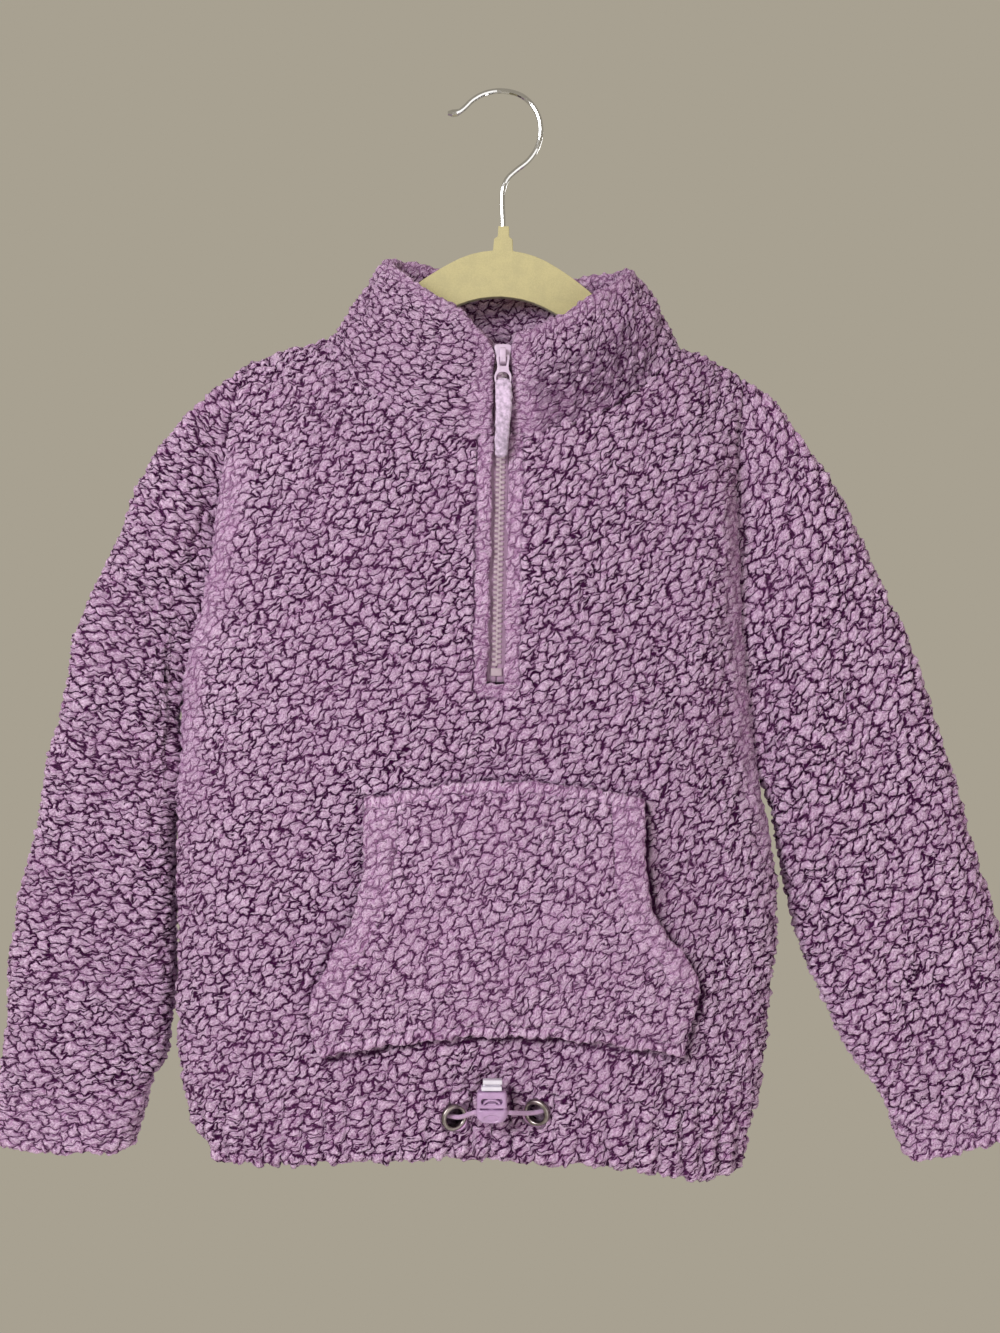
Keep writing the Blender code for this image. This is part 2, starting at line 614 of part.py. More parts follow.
def as_mesh(curve_object, matrix):
    """Makes a curve object a closed mesh object with its points where matrix puts them."""
    place(curve_object)
    bpy.context.view_layer.update()
    graph = bpy.context.evaluated_depsgraph_get()
    name = curve_object.name
    mesh = bpy.data.meshes.new_from_object(curve_object.evaluated_get(graph))
    bpy.data.objects.remove(curve_object)
    ob = place(bpy.data.objects.new(name, mesh))
    ob.name = name
    mesh.transform(matrix)
    work = bmesh.new()
    work.from_mesh(mesh)
    bmesh.ops.remove_doubles(work, verts=work.verts, dist=0.00001)
    bmesh.ops.recalc_face_normals(work, faces=work.faces)
    work.to_mesh(mesh)
    work.free()
    return ob


def axes(x_axis, y_axis, z_axis, origin):
    """A matrix that takes local axes to these directions, and the origin to a point in mm."""
    turn = Matrix((x_axis, y_axis, z_axis)).transposed().to_4x4()
    return Matrix.Translation(Vector(origin) * MM) @ turn


def mirrored(half):
    """A closed outline from its right half, given top to bottom."""
    return list(half) + [(-x, y) for x, y in reversed(half)]


def cut(ob, cutter, operation="DIFFERENCE", solver="EXACT"):
    modifier = ob.modifiers.new(operation.lower(), "BOOLEAN")
    modifier.operation = operation
    modifier.solver = solver
    modifier.object = cutter


def helper(ob):
    """Puts an object with the cutters, where it isn't part of the model."""
    PARTS.objects.unlink(ob)
    CUTTERS.objects.link(ob)
    ob.hide_render = True
    ob.display_type = "WIRE"
    return ob


def crown_axis():
    x, y, z = zip_point(CROWN_AXIS_Z)
    return np.array([x, y + SLIDER_FACES[0] - CROWN_AXIS_OUT, z])


def make_slider():
    """The slider's shield and the arch on its face that holds the link."""
    x, y, _ = zip_point(SLIDER_TOP_Z - SLIDER_LENGTH / 2)
    shoulder, foot = SLIDER_HALF, SLIDER_HALF * 0.86
    outline = mirrored(
        [(1.2, 0), (shoulder * 0.8, -0.7), (shoulder, -2.6), (shoulder, -5.2), (foot, -8.4),
         (foot, -SLIDER_LENGTH + 0.8), (foot - 0.9, -SLIDER_LENGTH)]
    )
    y_middle = y + sum(SLIDER_FACES) / 2
    half = (SLIDER_FACES[1] - SLIDER_FACES[0]) / 2
    facing = axes((1, 0, 0), (0, 0, 1), (0, -1, 0), (x, y_middle, SLIDER_TOP_Z))
    slider = flat_outline("zip_slider", [outline], half, facing)
    hole, thick = CROWN_HOLE_HALF, CROWN_THICKNESS
    out = hole + thick
    face = CROWN_AXIS_OUT + CROWN_SINK
    arch = [
        (-face, -out), (hole * 0.5, -out), (hole + thick * 0.7, -hole), (hole + thick * 0.7, hole),
        (hole * 0.5, out), (-face, out), (-face, hole), (hole * 0.4, hole), (hole, hole * 0.5),
        (hole, -hole * 0.5), (hole * 0.4, -hole), (-face, -hole),
    ]
    sideways = axes((0, -1, 0), (0, 0, 1), (-1, 0, 0), crown_axis())
    crown = helper(flat_outline("crown", [arch], CROWN_HALF_WIDTH, sideways))
    cut(slider, crown, "UNION", "MANIFOLD")


def make_pull():
    """The link on the crown and the strap through its slot, with their origin on the crown."""
    origin = crown_axis()
    facing = axes((1, 0, 0), (0, 0, 1), (0, -1, 0), (0, 0, 0))
    loops = [mirrored(LINK_OUTLINE), mirrored(LINK_WINDOW), mirrored(LINK_SLOT)]
    link = flat_outline("zip_pull_link", loops, LINK_HALF_THICKNESS, facing)
    link.data.transform(Matrix.Rotation(-PULL_LEAN, 4, "X"))
    link.location = origin * MM
    half, hole = STRAP_HALF_THICKNESS, STRAP_HOLE_HALF
    bar_z = (LINK_SLOT[-1][1] + LINK_OUTLINE[-1][1]) / 2
    outline = [
        (-half * 0.6, STRAP_TOP + 0.05), (half * 0.6, STRAP_TOP + 0.05), (half, STRAP_TOP - 0.7),
        (half, STRAP_BOTTOM + 0.8), (half * 0.5, STRAP_BOTTOM), (-half * 0.5, STRAP_BOTTOM),
        (-half, STRAP_BOTTOM + 0.8), (-half, STRAP_TOP - 0.7),
    ]
    ring = [(-hole, bar_z - hole), (hole, bar_z - hole), (hole, bar_z + hole), (-hole, bar_z + hole)]
    sideways = axes((0, -1, 0), (0, 0, 1), (-1, 0, 0), (0, 0, 0))
    strap = flat_outline("zip_pull_strap", [outline, ring], 1.0, sideways)
    strap.location = origin * MM
    narrow, wide, end = STRAP_HALF_WIDTHS
    for vertex in strap.data.vertices:
        z = vertex.co.z / MM
        width = np.interp(-z, [-STRAP_TOP, -STRAP_NECK_Z, -STRAP_BOTTOM], [narrow, wide, end])
        vertex.co.x *= width
    strap.data.transform(Matrix.Rotation(-PULL_LEAN, 4, "X"))


# ---- Eyelets, cord and toggle ----


def eyelet_frame(x, z):
    """Centre of an eyelet, its axis towards the outside and the way across it to the toggle."""
    centre = front_points(x, z)
    normal = front_normals(x, z)
    side = 1.0 if x < TOGGLE_X else -1.0
    across_it = unit(np.cross([0, 0, 1.0], normal) * side)
    across_it = across_it if across_it[0] * side > 0 else -across_it
    lean = EYELET_TURN - math.asin(abs(float(normal[0])))
    axis = unit(normal * math.cos(lean) + across_it * math.sin(lean))
    return centre, axis, unit(across_it - axis * float(across_it @ axis))


def make_eyelets():
    front = bpy.data.objects["front"]
    r, hole, half = EYELET_RADIUS, EYELET_HOLE, EYELET_HALF_THICKNESS
    profile = [  # radius, height
        (hole, half * 0.55), (hole, -half * 0.55), (hole + 0.7, -half), (r - 0.8, -half),
        (r, -half * 0.4), (r, half * 0.4), (r - 0.8, half), (hole + 0.7, half),
    ]
    segments = 28
    for name, x, z in EYELETS:
        centre, axis, across_it = eyelet_frame(x, z)
        up = np.cross(axis, across_it)
        points, faces = [], []
        for k in range(segments):
            angle = 2 * math.pi * k / segments
            way = across_it * math.cos(angle) + up * math.sin(angle)
            points += [centre + way * radius + axis * height for radius, height in profile]
        count = len(profile)
        for k in range(segments):
            m = (k + 1) % segments
            for i in range(count):
                j = (i + 1) % count
                faces.append((k * count + i, m * count + i, m * count + j, k * count + j))
        mesh_object(name, points, faces)
        turn = axes(across_it, up, axis, centre)
        work = bmesh.new()
        radius = (r + EYELET_CLEARANCE) * MM
        bmesh.ops.create_cone(
            work, cap_ends=True, segments=segments, radius1=radius, radius2=radius, depth=9 * MM,
            matrix=turn,
        )
        mesh = bpy.data.meshes.new(name + "_hole")
        work.to_mesh(mesh)
        work.free()
        cutter = helper(place(bpy.data.objects.new(name + "_hole", mesh)))
        cut(front, cutter)


def make_cord(front, back, front_normal, back_normal):
    """The hem cord: a closed loop through the tunnel, the eyelets and the toggle."""
    row = -HEM_ROWS
    front_run = front[row] - HEM_FOLD_RADIUS * front_normal[row]
    back_run = back[row] - HEM_FOLD_RADIUS * back_normal[row]
    reach = [j for j in range(front.shape[1]) if abs(front_run[j][0] - TOGGLE_X) > 36]
    left = [j for j in reach if front_run[j][0] < TOGGLE_X]
    right = [j for j in reach if front_run[j][0] > TOGGLE_X]
    (cl, al, tl), (cr, ar, tr) = (eyelet_frame(x, z) for _, x, z in EYELETS)
    toggle = np.array([TOGGLE_X, TOGGLE_Y, CORD_HOLE_Z])
    reach_out = np.array([TOGGLE_WIDTH / 2 + 1.2, 0, 0])

    def through(centre, axis, way):
        steps = ((7.6, 5.2), (2.6, 2.1), (-1.2, -2.0), (-5.4, -6.4))
        return [centre + way * along + axis * out for along, out in steps]

    points = [toggle - reach_out, *through(cl, al, tl)]
    points += [front_run[j] for j in reversed(left)]
    points += [back_run[j] for j in range(1, back.shape[1] - 1)]
    points += [front_run[j] for j in reversed(right)]
    points += [*reversed(through(cr, ar, tr)), toggle + reach_out]
    curve = bpy.data.curves.new("hem_cord", "CURVE")
    curve.dimensions = "3D"
    curve.bevel_depth = CORD_RADIUS * MM
    curve.bevel_resolution = 2
    spline = curve.splines.new("POLY")
    spline.points.add(len(points) - 1)
    for point, place_at in zip(spline.points, points):
        point.co = (*(np.asarray(place_at) * MM), 1)
    spline.use_cyclic_u = True
    place(bpy.data.objects.new("hem_cord", curve))


def box(name, low, high, bevel=0.0):
    """A box between two corners in millimetres, with rounded edges."""
    work = bmesh.new()
    size = (np.asarray(high) - low) * MM
    bmesh.ops.create_cube(work, size=1.0, matrix=Matrix.Diagonal((*size, 1)))
    mesh = bpy.data.meshes.new(name)
    work.to_mesh(mesh)
    work.free()
    ob = place(bpy.data.objects.new(name, mesh))
    ob.location = (np.asarray(high) + low) / 2 * MM
    if bevel:
        rounded = ob.modifiers.new("rounded", "BEVEL")
        rounded.width = bevel * MM
        rounded.segments = 3
    return ob


def make_toggle():
    x, y = TOGGLE_X, TOGGLE_Y
    wide, deep = TOGGLE_WIDTH / 2, TOGGLE_DEPTH / 2
    low, high = (x - wide, y - deep, TOGGLE_Z[0]), (x + wide, y + deep, TOGGLE_Z[1])
    body = box("toggle_body", low, high, TOGGLE_ROUNDING)
    half_x, half_y = BUTTON_WIDTH / 2, BUTTON_DEPTH / 2
    floor = BUTTON_Z[0] - BUTTON_TRAVEL - BUTTON_GAP
    gap = BUTTON_GAP
    well = box(
        "toggle_well", (x - half_x - gap, y - half_y - gap, floor),
        (x + half_x + gap, y + half_y + gap, TOGGLE_Z[1] + 5),
    )
    cut(body, helper(well))
    work = bmesh.new()
    turn = Matrix.Translation(Vector((x, y, CORD_HOLE_Z)) * MM) @ Matrix.Rotation(math.pi / 2, 4, "Y")
    radius = CORD_HOLE_RADIUS * MM
    bmesh.ops.create_cone(
        work, cap_ends=True, segments=16, radius1=radius, radius2=radius,
        depth=(TOGGLE_WIDTH + 6) * MM, matrix=turn,
    )
    mesh = bpy.data.meshes.new("toggle_cord_hole")
    work.to_mesh(mesh)
    work.free()
    cut(body, helper(place(bpy.data.objects.new("toggle_cord_hole", mesh))))
    low, high = BUTTON_Z
    outline = [
        (-half_y, low), (half_y, low), (half_y, high - 0.8), (half_y - 0.8, high),
        (0.8 - half_y, high), (-half_y, high - 0.8),
    ]
    hole_low, hole_high = BUTTON_HOLE_Z
    side = BUTTON_HOLE_HALF
    hole = [(-side, hole_low), (side, hole_low), (side, hole_high), (-side, hole_high)]
    sideways = axes((0, -1, 0), (0, 0, 1), (-1, 0, 0), (x, y, 0))
    flat_outline("toggle_button", [outline, hole], half_x, sideways)


# ---- Hanger ----


def make_hanger():
    arm = np.linspace(0, HANGER_ARM[-1][0], 23)
    top = from_table(arm, HANGER_ARM, 1)
    low = top - from_table(arm, HANGER_ARM, 2)
    start = np.searchsorted(arm, HUB[0][0])
    half = [(w, h) for w, h in reversed(HUB)]
    half += list(zip(arm[start:], top[start:])) + HANGER_TIP + list(zip(arm[:0:-1], low[:0:-1]))
    outline = half + [(0.0, low[0])] + [(-x, z) for x, z in reversed(half)]
    turn = Matrix.Rotation(HANGER_TILT, 4, "Y")
    stand = axes((1, 0, 0), (0, 0, 1), (0, -1, 0), (0, 0, 0))
    put = Matrix.Translation(Vector((HANGER_CENTRE[0], 0, HANGER_CENTRE[1])) * MM)
    hanger = flat_outline("hanger", [outline], HANGER_THICKNESS / 2, put @ turn @ stand)
    rounded = hanger.modifiers.new("rounded", "BEVEL")
    rounded.width = 0.9 * MM
    rounded.segments = 1
    rounded.limit_method = "ANGLE"
    rounded.angle_limit = math.radians(50)
    work = bmesh.new()
    hole = (WIRE_RADIUS + LAY_GAP) * MM
    x, z = HOOK_WIRE[0]
    floor = Matrix.Translation(Vector((x, 0, z + 10 - LAY_GAP)) * MM)
    bmesh.ops.create_cone(
        work, cap_ends=True, segments=16, radius1=hole, radius2=hole, depth=20 * MM, matrix=floor
    )
    mesh = bpy.data.meshes.new("hook_socket")
    work.to_mesh(mesh)
    work.free()
    cut(hanger, helper(place(bpy.data.objects.new("hook_socket", mesh))))


def make_hook():
    """The wire from its socket in the hanger's hub round the crown to its swollen tip."""
    x, z = (np.array(column(HOOK_WIRE, k), float) for k in (0, 1))
    way = np.concatenate([[0], np.cumsum(np.hypot(np.diff(x), np.diff(z)))])
    at = np.linspace(0, way[-1], 60)
    xs, zs = smooth(at, way, x), smooth(at, way, z)
    curve = bpy.data.curves.new("hanger_hook", "CURVE")
    curve.dimensions = "3D"
    curve.bevel_depth = WIRE_RADIUS * MM
    curve.bevel_resolution = 3
    curve.use_fill_caps = True
    spline = curve.splines.new("POLY")
    spline.points.add(len(at) - 1)
    for k, point in enumerate(spline.points):
        point.co = (xs[k] * MM, 0, zs[k] * MM, 1)
        if k >= len(at) - 3:
            point.radius = HOOK_TIP_SWELL if k < len(at) - 1 else 0.8
    place(bpy.data.objects.new("hanger_hook", curve))


# ---- Materials ----


def srgb(red, green, blue):
    """Linear colour from an 8-bit display colour."""
    def linear(value):
        value /= 255
        return value / 12.92 if value <= 0.04045 else ((value + 0.055) / 1.055) ** 2.4

    return (linear(red), linear(green), linear(blue), 1.0)


FINISHES = {  # material: colour, roughness, metallic
    "fleece": (srgb(172, 138, 180), 0.95, 0.0),
    "zip_tape": (srgb(165, 130, 160), 0.9, 0.0),
    "zip_plastic": (srgb(208, 188, 198), 0.4, 0.0),
    "strap_fleece": (srgb(216, 190, 214), 0.9, 0.0),
    "eyelet_metal": (srgb(150, 145, 140), 0.3, 1.0),
    "cord": (srgb(190, 155, 185), 0.7, 0.0),
    "toggle_plastic": (srgb(186, 148, 190), 0.35, 0.0),
    "button_plastic": (srgb(200, 190, 205), 0.3, 0.0),
    "flocked_plastic": (srgb(208, 194, 140), 0.95, 0.0),
    "chrome": (srgb(215, 215, 215), 0.12, 1.0),
}
NODE_FINISH = {
    "zip_tape_left": "zip_tape", "zip_tape_right": "zip_tape", "zip_chain": "zip_plastic",
    "zip_stop": "zip_plastic", "zip_slider": "zip_plastic", "zip_pull_link": "zip_plastic",
    "zip_pull_strap": "strap_fleece", "eyelet_left": "eyelet_metal", "eyelet_right": "eyelet_metal",
    "hem_cord": "cord", "toggle_body": "toggle_plastic", "toggle_button": "button_plastic",
    "hanger": "flocked_plastic", "hanger_hook": "chrome",
}


def finish(ob):
    """Gives an object a material of its own."""
    kind = NODE_FINISH.get(ob.name, "fleece")
    colour, roughness, metallic = FINISHES[kind]
    material = bpy.data.materials.new(ob.name)
    material.use_nodes = True
    shader = material.node_tree.nodes["Principled BSDF"]
    shader.inputs["Base Color"].default_value = colour
    shader.inputs["Roughness"].default_value = roughness
    shader.inputs["Metallic"].default_value = metallic
    ob.data.materials.clear()
    ob.data.materials.append(material)
    if ob.type == "MESH":
        ob.data.shade_smooth()
        ob.data.set_sharp_from_angle(angle=math.radians(35))


for old in list(bpy.data.objects):
    bpy.data.objects.remove(old)
PARTS = bpy.data.collections.new(COLLECTION)
CUTTERS = bpy.data.collections.new("cutters")
for collection in (PARTS, CUTTERS):
    bpy.context.scene.collection.children.link(collection)

cloth = make_cloth()
make_pocket()
make_zip()
make_slider()
make_pull()
make_eyelets()
make_cord(*cloth)
make_toggle()
make_hanger()
make_hook()
for part in PARTS.objects:
    finish(part)
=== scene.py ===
"""Looks of the sherpa fleece pullover on its hanger: cloth with its pile, zip, toggle and light.

Tables and sizes are in millimetres and become metres when a mesh is made. The cloth repeats the surfaces
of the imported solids, so that each piece lies where its solid is.
"""

import math

import bmesh
import bpy
import numpy as np
from mathutils import Matrix, Vector


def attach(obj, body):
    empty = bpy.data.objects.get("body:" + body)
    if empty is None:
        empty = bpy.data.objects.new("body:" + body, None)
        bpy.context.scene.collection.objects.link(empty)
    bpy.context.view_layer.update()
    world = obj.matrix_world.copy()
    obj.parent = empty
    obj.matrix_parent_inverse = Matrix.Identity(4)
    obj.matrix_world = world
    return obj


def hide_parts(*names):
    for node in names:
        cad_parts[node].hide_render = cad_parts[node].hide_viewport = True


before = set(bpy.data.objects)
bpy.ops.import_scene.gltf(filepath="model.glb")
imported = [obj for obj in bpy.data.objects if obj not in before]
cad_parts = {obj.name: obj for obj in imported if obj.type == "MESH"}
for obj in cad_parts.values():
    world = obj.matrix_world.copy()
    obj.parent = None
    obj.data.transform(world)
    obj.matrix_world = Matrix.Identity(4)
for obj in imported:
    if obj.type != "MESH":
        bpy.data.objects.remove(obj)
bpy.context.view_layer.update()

MM = 0.001
BODY, PULL, PLUNGER = "pullover", "zip_pull", "toggle_plunger"

# ---- Sizes that the cloth shares with its solids ----

WALL = 4.0
COLLAR_WALL = 8.0
HEM_FOLD_RADIUS, HEM_TURN = 4.5, 30.0
CUFF_FOLD_RADIUS, CUFF_TURN = 3.0, 22.0
NECK_X = (-92.0, 100.0)
ARMPIT_Z = (-334.0, -372.0)
SLIT_BOTTOM_Z = -330.0
SLIT_HALF = 4.4

LEFT_EDGE = [  # z, x
    (-150, -138.5), (-170, -143), (-210, -150), (-272, -159), (-312, -169), (-334, -174),
    (-360, -175), (-420, -175.5), (-500, -175), (-529, -174), (-558, -169), (-581, -160), (-600, -148),
]
RIGHT_EDGE = [  # z, x
    (-150, 137.5), (-190, 133), (-224, 131), (-266, 133), (-306, 135.5), (-354, 139.5),
    (-372, 142.5), (-390, 145.5), (-411, 149), (-439, 153), (-467, 152.5), (-505, 148.5), (-530, 146.5),
    (-555, 142.5), (-575, 138), (-600, 130),
]
SHOULDER_LINE = [  # x, z
    (-139, -153), (-120, -145.8), (-105, -142.2), (-92, -139.5), (0, -140), (100, -144),
    (114, -148.5), (127, -155), (137, -161),
]
FRONT_NECK = [  # x, z
    (-92, -139.5), (-80, -158), (-60, -177), (-30.5, -190.5), (-2, -196), (7, -196), (28, -191.5),
    (52, -181.5), (77, -165), (100, -144),
]
BACK_NECK = [  # x, z
    (-92, -139.5), (-84, -144), (-72, -148.5), (-40, -153), (3, -155), (48, -154), (80, -150.5),
    (91, -148), (100, -144),
]
ZIP_LINE = [(-140, 3.6), (-200, 2.3), (-262, 0.9), (-330, -0.4), (-620, -0.4)]  # z, x
HEM_LINE = [  # share of the half width from the zip, front z, back z
    (-1.0, -594, -594), (-0.87, -593, -592), (-0.61, -589, -589), (-0.4, -587.5, -588),
    (-0.06, -585.5, -588), (0.1, -587.5, -588), (0.38, -589, -589), (0.6, -594, -591),
    (0.83, -599, -595), (1.0, -600, -600),
]
DEPTHS = [  # z, front depth, back depth
    (-130, 41, 22), (-200, 41, 24), (-330, 42, 24), (-420, 43, 24), (-490, 44, 24), (-560, 42, 23),
    (-600, 37, 20),
]
FRONT_FALL, FRONT_FALL_POWER = 90.0, 1.7
BACK_FALL, BACK_FALL_POWER = 52.0, 1.9
ARMHOLE_DEPTH, ARMHOLE_ROUND = 9.0, 24.0
SIDE_SEAM_Y, SIDE_SEAM_RUN = -9.0, 70.0
ROUNDNESS = [  # z, power of the section
    (-150, 2.3), (-250, 2.4), (-345, 2.2), (-385, 2.4), (-450, 3.0), (-620, 3.2),
]
TOGGLE_DIP = {"x": -1.0, "z": -563.0, "depth": 8.0, "half_width": 21.0, "half_height": 26.0}

# Sleeves: outer and inner edge of each ring, its half depth and the y of its middle
LEFT_SLEEVE = [  # xo, zo, xi, zi, half depth, y
    (-163, -175.5, -184.5, -344.5, 10.5, -4), (-190, -209, -182.5, -368, 14.0, -2),
    (-209, -246, -181.5, -394, 15.0, -2), (-226, -292, -181.5, -428, 15.0, -2),
    (-240.5, -347, -181.5, -464, 15.0, -2), (-254.5, -409, -182, -502, 15.0, -1),
    (-268, -464, -187, -536, 14.5, 0), (-275.5, -555, -196.5, -557, 14.0, 0),
    (-277, -569, -200, -571, 14.0, 0), (-278, -583, -203.5, -585, 13.5, 0),
]
RIGHT_SLEEVE = [  # xo, zo, xi, zi, half depth, y
    (155, -175.5, 151, -388, 12.0, -1), (178, -207.5, 156, -404, 14.0, -2),
    (197, -243, 160.5, -430, 15.0, -2), (215.5, -282.5, 166.5, -459, 15.0, -2),
    (235, -333, 174.5, -483, 15.0, -2), (254, -387, 185, -506, 15.0, -1),
    (273, -446, 198.5, -534, 14.5, 0), (296, -546, 219.5, -565, 14.0, 0),
    (299, -559, 224, -578, 14.0, 0), (302, -572, 229, -591, 13.5, 0),
]
SLEEVE_SQUARENESS = 3.0

COLLAR_TOP = [  # share of the way round, x, y, z
    (0.0, -1.0, -37.5, -150), (0.09, -23, -37, -130), (0.18, -46, -27, -113.5),
    (0.27, -62, -2, -95.5), (0.38, -44, 17, -95), (0.5, 3, 25, -102), (0.62, 52, 19, -101.5),
    (0.73, 76, 0, -101), (0.82, 56, -25, -119), (0.91, 31, -36, -136), (1.0, 7.8, -37.5, -145.5),
]
COLLAR_NECK_SHARES = (0.27, 0.73)
COLLAR_BULGE = 2.5

POCKET_SIDES = [  # share of the way down, left x, left z, right x, right z
    (0.0, -70, -391, 77.5, -391), (0.17, -70, -413, 78, -413), (0.34, -71, -436, 79, -438),
    (0.5, -77, -457, 85, -457), (0.66, -91, -482, 102, -479), (0.78, -98.5, -500, 107, -493),
    (0.9, -99, -516, 103, -511), (1.0, -93, -528, 99, -528),
]
POCKET_TOP_BOW, POCKET_BOTTOM_BOW = 9.0, 12.0
POCKET_OPEN_END = 0.74
POCKET_LIFT, POCKET_STAND_OFF = 4.3, 8.0

# ---- Cells of the dense grids: every count but the collar's is a whole number of STRIDE ----

STRIDE = 4
LEFT_COLUMNS, SLIT_COLUMNS, RIGHT_COLUMNS = 120, 8, 104
CHEST_ROWS, WAIST_ROWS, FOLD_ROWS, TURN_ROWS = 140, 168, 12, 20
SLEEVE_COLUMNS, SLEEVE_ROWS = 232, 284
POCKET_COLUMNS, POCKET_ROWS = 148, 100
COLLAR_COLUMNS, COLLAR_ROWS, COLLAR_ARCH_ROWS = 264, 48, 10


def smooth(at, stations, values):
    """A curve through the values, with the slopes that their neighbours give."""
    order = np.argsort(stations)
    xs = np.asarray(stations, float)[order]
    ys = np.asarray(values, float)[order]
    slopes = np.gradient(ys, xs, axis=0)
    at = np.clip(np.asarray(at, float), xs[0], xs[-1])
    k = np.clip(np.searchsorted(xs, at, side="right") - 1, 0, len(xs) - 2)
    extra = (1,) * (ys.ndim - 1)
    step = (xs[k + 1] - xs[k]).reshape(at.shape + extra)
    t = (at - xs[k]).reshape(at.shape + extra) / step
    return (
        (2 * t**3 - 3 * t**2 + 1) * ys[k]
        + (t**3 - 2 * t**2 + t) * step * slopes[k]
        + (3 * t**2 - 2 * t**3) * ys[k + 1]
        + (t**3 - t**2) * step * slopes[k + 1]
    )


def column(table, index):
    return [row[index] for row in table]


def from_table(at, table, index=1):
    return smooth(at, column(table, 0), column(table, index))


def unit(vectors):
    length = np.linalg.norm(vectors, axis=-1, keepdims=True)
    return vectors / np.maximum(length, 1e-9)


def ease(low, high, value):
    """0 below low, 1 above high and a soft step between."""
    t = np.clip((value - low) / (high - low), 0, 1)
    return t * t * (3 - 2 * t)


def resample(points, count):
    """Points at equal steps along a line of points."""
    way = np.concatenate([[0], np.cumsum(np.linalg.norm(np.diff(points, axis=0), axis=1))])
    at = np.linspace(0, way[-1], count)
    return np.stack([np.interp(at, way, points[:, k]) for k in range(3)], axis=-1)


# ---- The body's surface ----


def at_share(share, z):
    """The x of a share of the half width, on its side of the zip."""
    left = share < 0
    edge = np.where(left, from_table(z, LEFT_EDGE), from_table(z, RIGHT_EDGE))
    start = from_table(z, ZIP_LINE) + np.where(left, -SLIT_HALF, SLIT_HALF)
    return start + (edge - start) * np.abs(share)


def across(x, z):
    """Share of the half width, from -1 at the left side to 0 at the zip and 1 at the right side."""
    middle = from_table(z, ZIP_LINE)
    left, right = middle - SLIT_HALF, middle + SLIT_HALF
    to_left = (x - left) / (left - from_table(z, LEFT_EDGE))
    to_right = (x - right) / (from_table(z, RIGHT_EDGE) - right)
    return np.where(x < left, to_left, np.where(x > right, to_right, 0.0))


def edge_y(z, right, front):
    """The y of a panel's side edge: the armhole, and the side seam below it."""
    top = np.where(right, SHOULDER_LINE[-1][1], SHOULDER_LINE[0][1])
    armpit = np.where(right, ARMPIT_Z[1], ARMPIT_Z[0])
    end = np.clip(np.minimum(top - z, z - armpit) / ARMHOLE_ROUND, 0, 1)
    armhole = ARMHOLE_DEPTH * np.sqrt(1 - (1 - end) ** 2)
    run = ease(0, SIDE_SEAM_RUN, armpit - z)
    return np.where(z > armpit, -armhole if front else armhole, SIDE_SEAM_Y * run)


def panel_y(x, z, front):
    """The y of the middle of the front's or the back's wall."""
    share = across(x, z)
    fall, power = (FRONT_FALL, FRONT_FALL_POWER) if front else (BACK_FALL, BACK_FALL_POWER)
    below = np.clip((from_table(x, SHOULDER_LINE) - z) / fall, 0, 1)
    rise = (1 - (1 - below) ** power) ** (1 / power)
    depth = -from_table(z, DEPTHS, 1) if front else from_table(z, DEPTHS, 2)
    n = from_table(z, ROUNDNESS)
    section = (1 - np.clip(np.abs(share), 0, 1) ** n) ** (1 / n)
    y = edge_y(z, share > 0, front) * (1 - section) ** 1.6 + depth * rise * section
    if front:
        dip = TOGGLE_DIP
        off = ((x - dip["x"]) / dip["half_width"]) ** 2 + ((z - dip["z"]) / dip["half_height"]) ** 2
        y = y + dip["depth"] * np.exp(-off)
    return y


def front_points(x, z):
    return np.stack([x, panel_y(x, z, True), z], axis=-1)


def front_normals(x, z, step=2.0):
    along_x = front_points(x + step, z) - front_points(x - step, z)
    along_z = front_points(x, z + step) - front_points(x, z - step)
    return unit(np.cross(along_x, along_z))


def top_z(x, front):
    """Height of a panel's top edge: the neck seam, and the shoulder seam beside it."""
    neck = from_table(x, FRONT_NECK if front else BACK_NECK)
    on_neck = (x >= NECK_X[0]) & (x <= NECK_X[1])
    return np.where(on_neck, neck, from_table(x, SHOULDER_LINE))


# ---- Grids of the cloth. A grid is a dict of points and of the cloth's own coordinates u and v ----


def flat_way(points, axis, along):
    """Way across the grid along an axis: the run along a direction and what the bulge adds to it."""
    step = np.diff(points, axis=axis)
    bulge = np.linalg.norm(step, axis=-1) - np.linalg.norm(step[..., [0, 2]], axis=-1)
    run = np.abs(step @ np.asarray(along, float)) + bulge
    way = np.cumsum(run, axis=axis)
    start = np.zeros_like(np.take(way, [0], axis=axis))
    return np.concatenate([start, way], axis=axis)


